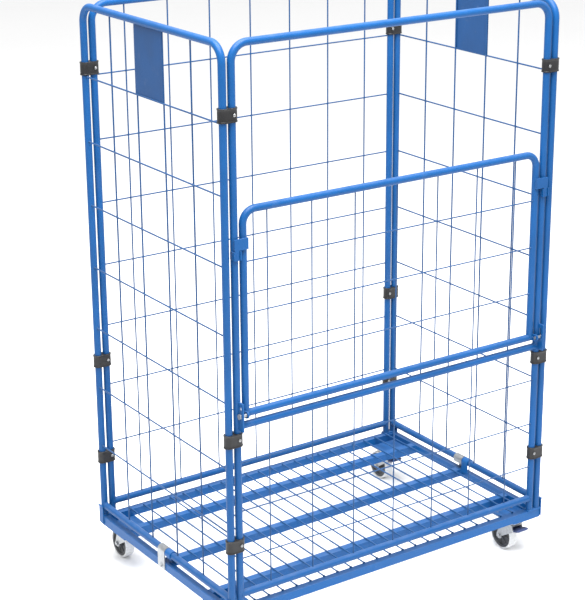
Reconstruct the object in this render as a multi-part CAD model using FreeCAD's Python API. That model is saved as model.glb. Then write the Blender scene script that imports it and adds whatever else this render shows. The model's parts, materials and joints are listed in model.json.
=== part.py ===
"""Roll cage container: a wheeled base with a wire deck, two side panels, a back panel and a
front panel with a lift-and-drop gate. Millimetres, +Z up, front toward -Y, floor at z = 0.
"""

import FreeCAD, Part
import math
import os

V = FreeCAD.Vector

# ---------------------------------------------------------------- driving dimensions

# Frame tubes and the plan of the cage
TUBE_RADIUS = 11.0
TUBE_WALL = 2.0
SIDE_PANEL_SPACING = 1175.0     # between the planes of the left and right panels
END_PANEL_SPACING = 772.0       # between the planes of the front and back panels
PAIR_PITCH = 28.5               # between two neighbouring tubes at a corner or beside the gate
HOOP_BEND = 50.0                # centre line radius of a panel hoop's top corners
TOP_TUBE_Z = 1820.0

# Bottom tubes and the front crossbar
SIDE_BOTTOM_Z = 195.0
BACK_BOTTOM_Z = 200.0
FRONT_BOTTOM_Z = 205.0
CROSSBAR_Z = 733.5

# Welded wire meshes
SIDE_WIRE_RADIUS = 2.5
END_WIRE_RADIUS = 2.25
FRONT_WIRE_RADIUS = 2.0
WELD_DEPTH = 0.5                # how far two crossing wires are pressed into each other
UPRIGHT_PITCH = 150.0
SIDE_UPRIGHTS = 4
END_UPRIGHTS = 7
PANEL_LEVEL_PITCH = 200.0
PANEL_FIRST_LEVEL_Z = 407.5
PANEL_TOP_GAP = 212.5           # least height between the highest level wire and the top tube
FRONT_LEVEL_PITCH = 150.0
FRONT_FIRST_LEVEL_Z = 319.0
FRONT_LEVELS = 3
GATE_FIRST_LEVEL_Z = 915.0
GATE_TOP_GAP = 100.0            # least height between the gate's highest level wire and its top

# Label plates
LABEL_WIDTH = 156.0
LABEL_THICKNESS = 1.5
LABEL_HEIGHT = 210.0            # from its bottom edge to the top tube's middle

# Base frame
SIDE_RAIL_WIDTH = 20.0
END_RAIL_WIDTH = 25.0
RAIL_HEIGHT = 25.0
RAIL_WALL = 2.0
RAIL_BOTTOM_Z = 135.0
END_RAIL_SETOUT = 8.0           # an end rail's outer face lies this far outside the panel's plane
SEAT_MARGIN = 1.5               # a corner seat reaches this far past the tubes on it
BEAM_SIZE = 25.0
BEAM_OFFSET = 250.0
DECK_WIRE_RADIUS = 2.5
DECK_WIRE_PITCH = 50.0
DECK_WIRE_LAP = 2.5             # how far a deck wire's end lies on the end rail

# Corner sockets
SOCKET_THICKNESS = 3.0
SOCKET_FIT = 0.5                # between a socket's leg and the tube in it
SOCKET_TOP_Z = 197.0
SOCKET_LIP = 3.0                # outward lip along the top of a socket's wall
SEAT_THICKNESS = 5.0
SPIGOT_FIT = 1.0                # between a spigot and the bore of the tube on it
SPIGOT_HEIGHT = 40.0

# Hold-down straps and saddles at the middle of each side
STRAP_WIDTH = 40.0
STRAP_THICKNESS = 3.0
STRAP_FIT = 0.2
STRAP_FOOT_Z = 137.0
STRAP_BOLT_Z = 148.0
SADDLE_WIDTH = 30.0
SADDLE_GAP = 2.0
SADDLE_FOOT = 12.0              # length of the foot on the side rail

# Corner clips and their rivets
CLIP_HEIGHT = 40.0
CLIP_WALL = 4.0
CLIP_FIT = 0.1
LOW_CLIP_Z = 367.0
MIDDLE_CLIP_Z = 696.0
TOP_CLIP_DROP = 189.0           # from the top tube's middle down to the highest clip's middle
RIVET_SHANK_RADIUS = 2.5
RIVET_HEAD_RADIUS = 5.0
RIVET_HEAD_HEIGHT = 2.5
RIVET_FIT = 0.1

# Gate
GATE_RAIL_Z = 768.0
GATE_TOP_DROP = 458.0           # from the front panel's top tube down to the gate's
GATE_BEND = 40.0
HINGE_PIN_RADIUS = 5.0
HINGE_PIN_FIT = 0.06
HINGE_PIN_FORWARD = 21.0        # pin axis in front of the panel's plane
HINGE_PIN_Z = 771.0
HINGE_LUG_RADIUS = 10.0
HINGE_LUG_THICKNESS = 5.0
HINGE_PIN_HEAD_RADIUS = 8.0
HINGE_PIN_HEAD_HEIGHT = 4.0
HINGE_PIN_END_PLAY = 0.5
HINGE_PIN_TAIL = 2.0            # pin past the lug's inner face
HINGE_PLATE_THICKNESS = 5.0
HINGE_PLATE_REACH = 34.0        # plate's front edge in front of the panel's plane
HINGE_PLATE_BOTTOM_Z = 727.0
HINGE_PLATE_TOP_Z = 812.0
SLOT_FIT = 0.25
GATE_LIFT = 25.0
SLOT_END_GAP = 0.25

# Gate latches, with heights measured down from the gate's top tube
LATCH_GAP = 1.0                 # between the latch plate and the post behind it
LATCH_THICKNESS = 5.0
LATCH_DROP = 75.0
LATCH_HEIGHT = 32.0
LATCH_OVERLAP = 8.5             # latch plate past the post's middle
LATCH_FOOT_WIDTH = 16.0
TONGUE_WIDTH = 14.0
TONGUE_LENGTH = 28.0            # below the latch plate
KEEPER_GAP = 1.0
KEEPER_THICKNESS = 4.0
KEEPER_FRONT = 20.0             # keeper's front edge in front of the panel's plane
KEEPER_HEIGHT = 25.0
KEEPER_LATCH_GAP = 2.0          # between a keeper and the latch plate above it

# Castors
SWIVEL_INSET_X = 56.5           # swivel axis inside the side panel's plane
SWIVEL_INSET_Y = 48.0           # swivel axis inside the end panel's plane
CASTOR_TRAIL = 38.0
WHEEL_RADIUS = 50.0
WHEEL_WIDTH = 32.0
RIM_RADIUS = 38.0
RIM_WIDTH = 30.0
RIM_RECESS_DEPTH = 5.0
RIM_RECESS_OUTER = 31.0
RIM_RECESS_INNER = 14.0
TREAD_ROUNDING = 5.0
BOSS_RADIUS = 10.0
BOSS_WIDTH = 35.0
AXLE_RADIUS = 4.0
AXLE_FIT = 0.06
AXLE_HEAD_RADIUS = 7.0
AXLE_HEAD_HEIGHT = 5.0
FORK_INNER_HALF = 19.0
FORK_THICKNESS = 3.0
FORK_FRONT = -27.0              # crown's front and rear edges, from the swivel axis
FORK_REAR = 31.0
AXLE_EYE_RADIUS = 12.0
CROWN_BOTTOM_Z = 103.0
CROWN_THICKNESS = 4.0
RACE_RADIUS = 26.0
UPPER_RACE_RADIUS = 23.0
UPPER_RACE_HEIGHT = 6.0
RACE_GAP = 0.3
TOP_PLATE_X = 85.0
TOP_PLATE_Y = 105.0
TOP_PLATE_THICKNESS = 3.0
MOUNT_PLATE_THICKNESS = 5.0
MOUNT_PLATE_LIP = 43.0          # from the swivel axis to the plate's inner edge
CASTOR_BOLT_X = 30.0
CASTOR_BOLT_Y = 40.0
BOLT_RADIUS = 4.0
BOLT_FIT = 0.1
BOLT_HEAD_RADIUS = 7.0
BOLT_HEAD_HEIGHT = 5.0
KINGPIN_RADIUS = 6.0
KINGPIN_FIT = 0.06
KINGPIN_HEAD_RADIUS = 10.0
KINGPIN_HEAD_HEIGHT = 5.5

# Brake pedals on the two right-hand castors
PIVOT_Y = -7.0                  # pedal pivot from the swivel axis
PIVOT_Z = 90.0
PIVOT_RADIUS = 3.0
PIVOT_FIT = 0.06
PEDAL_SLEEVE_RADIUS = 5.5
PEDAL_SLEEVE_HALF = 18.0
PEDAL_ARM_HALF = 15.0
PEDAL_PAD_HALF = 23.0
PEDAL_THICKNESS = 4.0
PEDAL_KNEE_Y = -32.0
PEDAL_KNEE_Z = 92.0
PEDAL_TIP_Y = -54.0
PEDAL_TIP_Z = 97.0
PEDAL_TRAVEL_DEG = 12.0
SHOE_RADIUS = 3.0
SHOE_CLEARANCE = 0.3            # shoe to tread with the pedal fully down
SHOE_ROUND_WHEEL_DEG = 150.0    # where the shoe meets the wheel, from the wheel's rear, upward

# ---------------------------------------------------------------- places worked out from them

SIDE_X = SIDE_PANEL_SPACING / 2
END_Y = END_PANEL_SPACING / 2
POST_X = SIDE_X - PAIR_PITCH
GATE_X = POST_X - PAIR_PITCH
RAIL_OUTER_X = SIDE_X + TUBE_RADIUS + STRAP_FIT
RAIL_OUTER_Y = END_Y + END_RAIL_SETOUT
RAIL_INNER_X = RAIL_OUTER_X - SIDE_RAIL_WIDTH
RAIL_INNER_Y = RAIL_OUTER_Y - END_RAIL_WIDTH
RAIL_TOP_Z = RAIL_BOTTOM_Z + RAIL_HEIGHT
CORNER_X = POST_X - TUBE_RADIUS - SEAT_MARGIN
CORNER_Y = END_Y - TUBE_RADIUS - SEAT_MARGIN
SOCKET_X = SIDE_X + TUBE_RADIUS + SOCKET_FIT
SOCKET_Y = END_Y + TUBE_RADIUS + SOCKET_FIT
SPIGOT_RADIUS = TUBE_RADIUS - TUBE_WALL - SPIGOT_FIT
TUBE_FOOT_Z = RAIL_TOP_Z + SEAT_THICKNESS
DECK_WIRES = 1 + int(2 * POST_X // DECK_WIRE_PITCH)
PANEL_LEVELS = 1 + int((TOP_TUBE_Z - PANEL_TOP_GAP - PANEL_FIRST_LEVEL_Z) // PANEL_LEVEL_PITCH)
LABEL_BOTTOM_Z = TOP_TUBE_Z - LABEL_HEIGHT
GATE_TOP_Z = TOP_TUBE_Z - GATE_TOP_DROP
GATE_LEVELS = 1 + int((GATE_TOP_Z - GATE_TOP_GAP - GATE_FIRST_LEVEL_Z) // FRONT_LEVEL_PITCH)
LATCH_TOP_Z = GATE_TOP_Z - LATCH_DROP
LATCH_BOTTOM_Z = LATCH_TOP_Z - LATCH_HEIGHT
TONGUE_TIP_Z = LATCH_BOTTOM_Z - TONGUE_LENGTH
KEEPER_TOP_Z = LATCH_BOTTOM_Z - KEEPER_LATCH_GAP
KEEPER_BOTTOM_Z = KEEPER_TOP_Z - KEEPER_HEIGHT
CLIP_LEVELS_Z = (LOW_CLIP_Z, MIDDLE_CLIP_Z, TOP_TUBE_Z - TOP_CLIP_DROP)
SWIVEL_X = SIDE_X - SWIVEL_INSET_X
SWIVEL_Y = END_Y - SWIVEL_INSET_Y
MOUNT_PLATE_INNER_X = SWIVEL_X - MOUNT_PLATE_LIP
MOUNT_PLATE_BOTTOM_Z = RAIL_BOTTOM_Z - MOUNT_PLATE_THICKNESS
TOP_PLATE_BOTTOM_Z = MOUNT_PLATE_BOTTOM_Z - TOP_PLATE_THICKNESS
CROWN_TOP_Z = CROWN_BOTTOM_Z + CROWN_THICKNESS
FORK_OUTER_HALF = FORK_INNER_HALF + FORK_THICKNESS
PIN_Y = -END_Y - HINGE_PIN_FORWARD
POST_FRONT_Y = -END_Y - TUBE_RADIUS
PLAN_SHIFT_Y = (END_Y + HINGE_PLATE_REACH - SWIVEL_Y - CASTOR_TRAIL - WHEEL_RADIUS) / 2

# Left or right of the middle, front or back of it, and a castor's name for each corner
LEFT_RIGHT = {"left": -1, "right": 1}
CORNERS = {
    "front_left": (-1, -1),
    "front_right": (1, -1),
    "rear_left": (-1, 1),
    "rear_right": (1, 1),
}

# ---------------------------------------------------------------- shape helpers


def box(x0, x1, y0, y1, z0, z1):
    """Box between two opposite corners, whichever way round each pair is given."""
    low = V(min(x0, x1), min(y0, y1), min(z0, z1))
    return Part.makeBox(abs(x1 - x0), abs(y1 - y0), abs(z1 - z0), low)


def rod(start, end, radius):
    """Round bar from one point to another."""
    along = end - start
    return Part.makeCylinder(radius, along.Length, start, along)


def hex_bar(start, end, radius):
    """Six-sided bar from one point to another; radius is to its corners."""
    along = end - start
    bar = Part.Face(Part.makePolygon(
        [V(radius * math.cos(i * math.pi / 3), radius * math.sin(i * math.pi / 3), 0) for i in range(7)]
    )).extrude(V(0, 0, along.Length))
    bar.Placement = FreeCAD.Placement(start, FreeCAD.Rotation(V(0, 0, 1), along))
    return bar


def fuse(shapes):
    """One solid from several that overlap or touch."""
    return shapes[0].multiFuse(shapes[1:]).removeSplitter()


def profile_yz(outline, x0, x1):
    """Flat piece with an outline of (y, z) points, between two x values."""
    corners = [V(min(x0, x1), y, z) for y, z in outline]
    return Part.Face(Part.makePolygon(corners + corners[:1])).extrude(V(abs(x1 - x0), 0, 0))


def centred(count, pitch):
    """Evenly pitched places about zero."""
    return [(i - (count - 1) / 2) * pitch for i in range(count)]


def stepped(first, count, pitch):
    """Evenly pitched places from the first one up."""
    return [first + i * pitch for i in range(count)]


def side_plane(side):
    """Places a point in a side panel: along the side, up, and outward from the panel's plane."""
    return lambda along, z, out=0.0: V(side * (SIDE_X + out), along, z)


def end_plane(end):
    """Places a point in an end panel: across the cage, up, and outward from the panel's plane."""
    return lambda along, z, out=0.0: V(along, end * (END_Y + out), z)


def bend_arc(start, middle, end):
    """Round bend through three points."""
    return Part.Arc(start, middle, end).toShape()


def hoop_path(point, half_span, foot_z, top_z, bend):
    """Centre line of a hoop: up one leg, over the top between two bends, down the other leg."""
    knee_z = top_z - bend
    inner = half_span - bend
    mid = bend * math.sin(math.pi / 4)
    return Part.Wire([
        Part.makeLine(point(-half_span, foot_z), point(-half_span, knee_z)),
        bend_arc(point(-half_span, knee_z), point(-inner - mid, knee_z + mid), point(-inner, top_z)),
        Part.makeLine(point(-inner, top_z), point(inner, top_z)),
        bend_arc(point(inner, top_z), point(inner + mid, knee_z + mid), point(half_span, knee_z)),
        Part.makeLine(point(half_span, knee_z), point(half_span, foot_z)),
    ])


def swept(path, radius):
    """Round bar bent along a path that starts upward."""
    start = path.Vertexes[0].Point
    ring = Part.Wire(Part.makeCircle(radius, start, V(0, 0, 1)))
    return path.makePipeShell([ring], True, False)


def hoop_solid(point, half_span, foot_z, top_z, bend):
    """The hoop as if solid, which is what the wires and tubes welded to it stop against."""
    return swept(hoop_path(point, half_span, foot_z, top_z, bend), TUBE_RADIUS)


def hoop_tube(point, half_span, foot_z, top_z, bend):
    """The hoop as a bent tube, open at both feet."""
    path = hoop_path(point, half_span, foot_z, top_z, bend)
    return swept(path, TUBE_RADIUS).cut(swept(path, TUBE_RADIUS - TUBE_WALL))


def straight_solid(point, half_span, z):
    """A level tube as if solid."""
    return rod(point(-half_span, z), point(half_span, z), TUBE_RADIUS)


def straight_tube(point, half_span, z):
    """A level tube."""
    bore = rod(point(-half_span, z), point(half_span, z), TUBE_RADIUS - TUBE_WALL)
    return straight_solid(point, half_span, z).cut(bore)


def wire_mesh(point, radius, half_span, low_z, high_z, uprights, levels, frame):
    """Welded mesh: uprights on the inside, levels on the outside, ends cut to meet the frame."""
    out = radius - WELD_DEPTH / 2
    wires = [rod(point(u, low_z, -out), point(u, high_z, -out), radius) for u in uprights]
    wires += [rod(point(-half_span, z, out), point(half_span, z, out), radius) for z in levels]
    return fuse(wires).cut(frame)


# ---------------------------------------------------------------- base


def hollow_rail(x0, x1, y0, y1, lengthwise):
    """Rectangular tube on the floor frame's level, open at the ends of its length."""
    outer = box(x0, x1, y0, y1, RAIL_BOTTOM_Z, RAIL_TOP_Z)
    wall_x = 0 if lengthwise == "x" else RAIL_WALL
    wall_y = 0 if lengthwise == "y" else RAIL_WALL
    low_x, high_x = sorted((x0, x1))
    low_y, high_y = sorted((y0, y1))
    bore = box(low_x + wall_x, high_x - wall_x, low_y + wall_y, high_y - wall_y,
               RAIL_BOTTOM_Z + RAIL_WALL, RAIL_TOP_Z - RAIL_WALL)
    return outer.cut(bore)


def end_rail(end):
    """Rail across the whole front or rear, under the corner seats."""
    return hollow_rail(-RAIL_OUTER_X, RAIL_OUTER_X, end * RAIL_INNER_Y, end * RAIL_OUTER_Y, "x")


def side_rail(side):
    """Rail between the end rails, drilled through its outer wall for the strap's bolt."""
    rail = hollow_rail(side * RAIL_INNER_X, side * RAIL_OUTER_X, -RAIL_INNER_Y, RAIL_INNER_Y, "y")
    hole = rod(V(side * (RAIL_OUTER_X - 2 * RAIL_WALL), 0, STRAP_BOLT_Z),
               V(side * (RAIL_OUTER_X + RAIL_WALL), 0, STRAP_BOLT_Z), BOLT_RADIUS + BOLT_FIT)
    return rail.cut(hole)


def cross_beams():
    """Three square tubes across the base that carry the deck wires."""
    beams = []
    for y in (-BEAM_OFFSET, 0.0, BEAM_OFFSET):
        half = BEAM_SIZE / 2
        outer = box(-RAIL_INNER_X, RAIL_INNER_X, y - half, y + half, RAIL_BOTTOM_Z, RAIL_BOTTOM_Z + BEAM_SIZE)
        bore = box(-RAIL_INNER_X, RAIL_INNER_X, y - half + RAIL_WALL, y + half - RAIL_WALL,
                   RAIL_BOTTOM_Z + RAIL_WALL, RAIL_BOTTOM_Z + BEAM_SIZE - RAIL_WALL)
        beams.append(outer.cut(bore))
    return Part.makeCompound(beams)


def deck_wires():
    """Wires from the front rail to the rear rail, lying on them and on the cross beams."""
    z = RAIL_BOTTOM_Z + BEAM_SIZE + DECK_WIRE_RADIUS
    reach = RAIL_INNER_Y + DECK_WIRE_LAP
    return Part.makeCompound([
        rod(V(x, -reach, z), V(x, reach, z), DECK_WIRE_RADIUS)
        for x in centred(DECK_WIRES, DECK_WIRE_PITCH)
    ])


def castor_bolt_places(across, along):
    """The four bolt places of the castor at one corner."""
    return [V(across * SWIVEL_X + i * CASTOR_BOLT_X, along * SWIVEL_Y + j * CASTOR_BOLT_Y, 0)
            for i in (-1, 1) for j in (-1, 1)]


def mount_plates():
    """Flat plates under the corners that join the rails and take the castors' bolts."""
    plates = []
    for across, along in CORNERS.values():
        plate = box(across * MOUNT_PLATE_INNER_X, across * RAIL_OUTER_X,
                    along * (BEAM_OFFSET - BEAM_SIZE / 2), along * RAIL_OUTER_Y,
                    MOUNT_PLATE_BOTTOM_Z, RAIL_BOTTOM_Z)
        for place in castor_bolt_places(across, along):
            hole = rod(place + V(0, 0, MOUNT_PLATE_BOTTOM_Z), place + V(0, 0, RAIL_BOTTOM_Z),
                       BOLT_RADIUS + BOLT_FIT)
            plate = plate.cut(hole)
        plates.append(plate)
    return Part.makeCompound(plates)


def corner_sockets():
    """Seat, lipped side wall and two spigots at each corner, on which the panels' tubes stand."""
    sockets = []
    for across, along in CORNERS.values():
        outer_x = across * (SOCKET_X + SOCKET_THICKNESS)
        lip_x = outer_x + across * SOCKET_LIP
        pieces = [
            box(across * CORNER_X, across * SOCKET_X, along * CORNER_Y, along * SOCKET_Y,
                RAIL_TOP_Z, TUBE_FOOT_Z),
            box(across * SOCKET_X, outer_x, along * CORNER_Y, along * SOCKET_Y, RAIL_BOTTOM_Z, SOCKET_TOP_Z),
            box(across * SOCKET_X, lip_x, along * CORNER_Y, along * SOCKET_Y,
                SOCKET_TOP_Z - SOCKET_THICKNESS, SOCKET_TOP_Z),
        ]
        for x in (SIDE_X, POST_X):
            foot = V(across * x, along * END_Y, RAIL_TOP_Z)
            pieces.append(rod(foot, foot + V(0, 0, SEAT_THICKNESS + SPIGOT_HEIGHT), SPIGOT_RADIUS))
        sockets.append(fuse(pieces))
    return Part.makeCompound(sockets)


def band_over_tube(side, y0, y1, thickness, outer_foot_z, inner_foot_z):
    """Strip bent over a side bottom tube, with a straight leg down each side of it."""
    inner = TUBE_RADIUS + STRAP_FIT
    outer = inner + thickness
    start = V(side * SIDE_X, y0, SIDE_BOTTOM_Z)
    end = V(side * SIDE_X, y1, SIDE_BOTTOM_Z)
    ring = rod(start, end, outer).cut(rod(start, end, inner))
    arch = ring.common(box(side * (SIDE_X - outer), side * (SIDE_X + outer), y0, y1,
                           SIDE_BOTTOM_Z, SIDE_BOTTOM_Z + outer))
    outer_leg = box(side * (SIDE_X + inner), side * (SIDE_X + outer), y0, y1, outer_foot_z, SIDE_BOTTOM_Z)
    inner_leg = box(side * (SIDE_X - outer), side * (SIDE_X - inner), y0, y1, inner_foot_z, SIDE_BOTTOM_Z)
    return fuse([arch, outer_leg, inner_leg])


def holddown_straps():
    """Plated straps over the side bottom tubes, bolted to the outside of the side rails."""
    straps = []
    for side in LEFT_RIGHT.values():
        strap = band_over_tube(side, -STRAP_WIDTH / 2, STRAP_WIDTH / 2, STRAP_THICKNESS,
                               STRAP_FOOT_Z, SIDE_BOTTOM_Z - TUBE_RADIUS)
        leg_x = SIDE_X + TUBE_RADIUS
        hole = rod(V(side * leg_x, 0, STRAP_BOLT_Z), V(side * (leg_x + 2 * STRAP_THICKNESS), 0, STRAP_BOLT_Z),
                   BOLT_RADIUS + BOLT_FIT)
        straps.append(strap.cut(hole))
    return Part.makeCompound(straps)


def holddown_saddles():
    """Painted hooks over the bottom tubes, standing on the side rails just in front of the straps."""
    front = -STRAP_WIDTH / 2 - SADDLE_GAP - SADDLE_WIDTH
    back = -STRAP_WIDTH / 2 - SADDLE_GAP
    leg_x = SIDE_X - TUBE_RADIUS - STRAP_FIT - STRAP_THICKNESS
    saddles = []
    for side in LEFT_RIGHT.values():
        hook = band_over_tube(side, front, back, STRAP_THICKNESS, SIDE_BOTTOM_Z - TUBE_RADIUS / 2, RAIL_TOP_Z)
        foot = box(side * leg_x, side * (leg_x + SADDLE_FOOT), front, back,
                   RAIL_TOP_Z, RAIL_TOP_Z + STRAP_THICKNESS)
        saddles.append(fuse([hook, foot]))
    return Part.makeCompound(saddles)


def holddown_bolts():
    """Bolt through each strap's leg into the side rail's outer wall."""
    bolts = []
    for side in LEFT_RIGHT.values():
        leg_outer = RAIL_OUTER_X + STRAP_THICKNESS
        tip = V(side * (RAIL_OUTER_X - 2 * RAIL_WALL), 0, STRAP_BOLT_Z)
        neck = V(side * leg_outer, 0, STRAP_BOLT_Z)
        crown = V(side * (leg_outer + BOLT_HEAD_HEIGHT), 0, STRAP_BOLT_Z)
        bolts.append(fuse([rod(tip, neck, BOLT_RADIUS), hex_bar(neck, crown, BOLT_HEAD_RADIUS)]))
    return Part.makeCompound(bolts)


# ---------------------------------------------------------------- fixed panels


def side_panel(side):
    """Hoop, bottom tube, mesh and label plate of one side."""
    point = side_plane(side)
    hoop = hoop_solid(point, END_Y, TUBE_FOOT_Z, TOP_TUBE_Z, HOOP_BEND)
    bottom = straight_solid(point, END_Y, SIDE_BOTTOM_Z)
    mesh = wire_mesh(point, SIDE_WIRE_RADIUS, END_Y, SIDE_BOTTOM_Z, TOP_TUBE_Z,
                     centred(SIDE_UPRIGHTS, UPRIGHT_PITCH),
                     stepped(PANEL_FIRST_LEVEL_Z, PANEL_LEVELS, PANEL_LEVEL_PITCH), hoop.fuse(bottom))
    back = WELD_DEPTH / 2
    label = box(side * (SIDE_X + back), side * (SIDE_X + back + LABEL_THICKNESS),
                -LABEL_WIDTH / 2, LABEL_WIDTH / 2, LABEL_BOTTOM_Z, TOP_TUBE_Z)
    return {
        "hoop": hoop_tube(point, END_Y, TUBE_FOOT_Z, TOP_TUBE_Z, HOOP_BEND),
        "bottom_tube": straight_tube(point, END_Y, SIDE_BOTTOM_Z).cut(hoop),
        "mesh": mesh,
        "label_plate": label.cut(hoop),
    }


def back_panel():
    """Hoop, bottom tube and mesh across the back."""
    point = end_plane(1)
    hoop = hoop_solid(point, POST_X, TUBE_FOOT_Z, TOP_TUBE_Z, HOOP_BEND)
    bottom = straight_solid(point, POST_X, BACK_BOTTOM_Z)
    mesh = wire_mesh(point, END_WIRE_RADIUS, POST_X, BACK_BOTTOM_Z, TOP_TUBE_Z,
                     centred(END_UPRIGHTS, UPRIGHT_PITCH),
                     stepped(PANEL_FIRST_LEVEL_Z, PANEL_LEVELS, PANEL_LEVEL_PITCH), hoop.fuse(bottom))
    return {
        "hoop": hoop_tube(point, POST_X, TUBE_FOOT_Z, TOP_TUBE_Z, HOOP_BEND),
        "bottom_tube": straight_tube(point, POST_X, BACK_BOTTOM_Z).cut(hoop),
        "mesh": mesh,
    }


def front_panel():
    """Hoop, bottom tube, crossbar and low mesh across the front; it is open above the crossbar."""
    point = end_plane(-1)
    hoop = hoop_solid(point, POST_X, TUBE_FOOT_Z, TOP_TUBE_Z, HOOP_BEND)
    bottom = straight_solid(point, POST_X, FRONT_BOTTOM_Z)
    crossbar = straight_solid(point, POST_X, CROSSBAR_Z)
    mesh = wire_mesh(point, FRONT_WIRE_RADIUS, POST_X, FRONT_BOTTOM_Z, CROSSBAR_Z,
                     centred(END_UPRIGHTS, UPRIGHT_PITCH),
                     stepped(FRONT_FIRST_LEVEL_Z, FRONT_LEVELS, FRONT_LEVEL_PITCH),
                     hoop.multiFuse([bottom, crossbar]))
    return {
        "hoop": hoop_tube(point, POST_X, TUBE_FOOT_Z, TOP_TUBE_Z, HOOP_BEND),
        "bottom_tube": straight_tube(point, POST_X, FRONT_BOTTOM_Z).cut(hoop),
        "crossbar": straight_tube(point, POST_X, CROSSBAR_Z).cut(hoop),
        "mesh": mesh,
    }


def post(side):
    """A front post's full round, which what is welded to it is cut to fit."""
    return rod(V(side * POST_X, -END_Y, TUBE_FOOT_Z), V(side * POST_X, -END_Y, TOP_TUBE_Z), TUBE_RADIUS)


def hinge_plates():
    """Slotted plates on the front of the posts, in which the gate's pins turn and lift."""
    plates = []
    crossbar = straight_solid(end_plane(-1), POST_X, CROSSBAR_Z)
    for side in LEFT_RIGHT.values():
        inner_x = side * (POST_X - HINGE_PLATE_THICKNESS / 2)
        outer_x = side * (POST_X + HINGE_PLATE_THICKNESS / 2)
        plate = box(inner_x, outer_x, -END_Y, -END_Y - HINGE_PLATE_REACH,
                    HINGE_PLATE_BOTTOM_Z, HINGE_PLATE_TOP_Z)
        slot_half = HINGE_PIN_RADIUS + SLOT_FIT
        low_z = HINGE_PIN_Z - SLOT_END_GAP + SLOT_FIT
        high_z = HINGE_PIN_Z + GATE_LIFT + SLOT_END_GAP - SLOT_FIT
        slot = fuse([
            box(inner_x, outer_x, PIN_Y - slot_half, PIN_Y + slot_half, low_z, high_z),
            rod(V(inner_x, PIN_Y, low_z), V(outer_x, PIN_Y, low_z), slot_half),
            rod(V(inner_x, PIN_Y, high_z), V(outer_x, PIN_Y, high_z), slot_half),
        ])
        plates.append(plate.cut(slot).cut(post(side)).cut(crossbar))
    return Part.makeCompound(plates)


def gate_keepers():
    """Two cheeks on each front post that keep the latch's tongue from moving sideways."""
    cheeks = []
    for side in LEFT_RIGHT.values():
        for way in (-1, 1):
            near = side * POST_X + way * (TONGUE_WIDTH / 2 + KEEPER_GAP)
            far = near + way * KEEPER_THICKNESS
            cheek = box(near, far, -END_Y, -END_Y - KEEPER_FRONT, KEEPER_BOTTOM_Z, KEEPER_TOP_Z)
            cheeks.append(cheek.cut(post(side)))
    return Part.makeCompound(cheeks)


def corner_clips(across, along):
    """Three moulded clips that hold the pair of tubes at one corner together."""
    bore = TUBE_RADIUS + CLIP_FIT
    outer = bore + CLIP_WALL
    face_y = along * END_Y - outer
    clips = []
    for z in CLIP_LEVELS_Z:
        low = V(0, along * END_Y, z - CLIP_HEIGHT / 2)
        high = V(0, along * END_Y, z + CLIP_HEIGHT / 2)
        pair = [V(across * x, 0, 0) for x in (SIDE_X, POST_X)]
        body = fuse([rod(low + at, high + at, outer) for at in pair]
                    + [box(across * SIDE_X, across * POST_X, face_y, face_y + 2 * outer, low.z, high.z)])
        for at in pair:
            body = body.cut(rod(low + at, high + at, bore))
        rivet_hole = rod(V(across * POST_X, face_y, z), V(across * POST_X, along * END_Y, z),
                         RIVET_SHANK_RADIUS + RIVET_FIT)
        clips.append(body.cut(rivet_hole))
    return Part.makeCompound(clips)


def clip_rivets():
    """Domed rivets through the forward face of every clip, one on each end-panel tube."""
    rivets = []
    for across, along in CORNERS.values():
        tube_y = along * END_Y - TUBE_RADIUS
        face_y = tube_y - CLIP_FIT - CLIP_WALL
        dome = (RIVET_HEAD_RADIUS ** 2 + RIVET_HEAD_HEIGHT ** 2) / (2 * RIVET_HEAD_HEIGHT)
        for z in CLIP_LEVELS_Z:
            ball = Part.makeSphere(dome, V(across * POST_X, face_y - RIVET_HEAD_HEIGHT + dome, z))
            head = ball.common(box(across * POST_X - dome, across * POST_X + dome,
                                   face_y - RIVET_HEAD_HEIGHT - 1, face_y, z - dome, z + dome))
            shank = rod(V(across * POST_X, face_y, z), V(across * POST_X, tube_y, z), RIVET_SHANK_RADIUS)
            rivets.append(fuse([head, shank]))
    return Part.makeCompound(rivets)


# ---------------------------------------------------------------- gate


def hinge_lug(side):
    """Ear that closes the gate rail's end and reaches forward to the hinge pin."""
    outer_x = side * (GATE_X + TUBE_RADIUS)
    inner_x = outer_x - side * HINGE_LUG_THICKNESS
    rail_eye = rod(V(inner_x, -END_Y, GATE_RAIL_Z), V(outer_x, -END_Y, GATE_RAIL_Z), TUBE_RADIUS)
    pin_eye = rod(V(inner_x, PIN_Y, HINGE_PIN_Z), V(outer_x, PIN_Y, HINGE_PIN_Z), HINGE_LUG_RADIUS)
    web = profile_yz([
        (-END_Y, GATE_RAIL_Z + TUBE_RADIUS), (PIN_Y, HINGE_PIN_Z + HINGE_LUG_RADIUS),
        (PIN_Y, HINGE_PIN_Z - HINGE_LUG_RADIUS), (-END_Y, GATE_RAIL_Z - TUBE_RADIUS),
    ], inner_x, outer_x)
    bore = rod(V(inner_x, PIN_Y, HINGE_PIN_Z), V(outer_x, PIN_Y, HINGE_PIN_Z),
               HINGE_PIN_RADIUS + HINGE_PIN_FIT)
    return fuse([rail_eye, pin_eye, web]).cut(bore)


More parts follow.
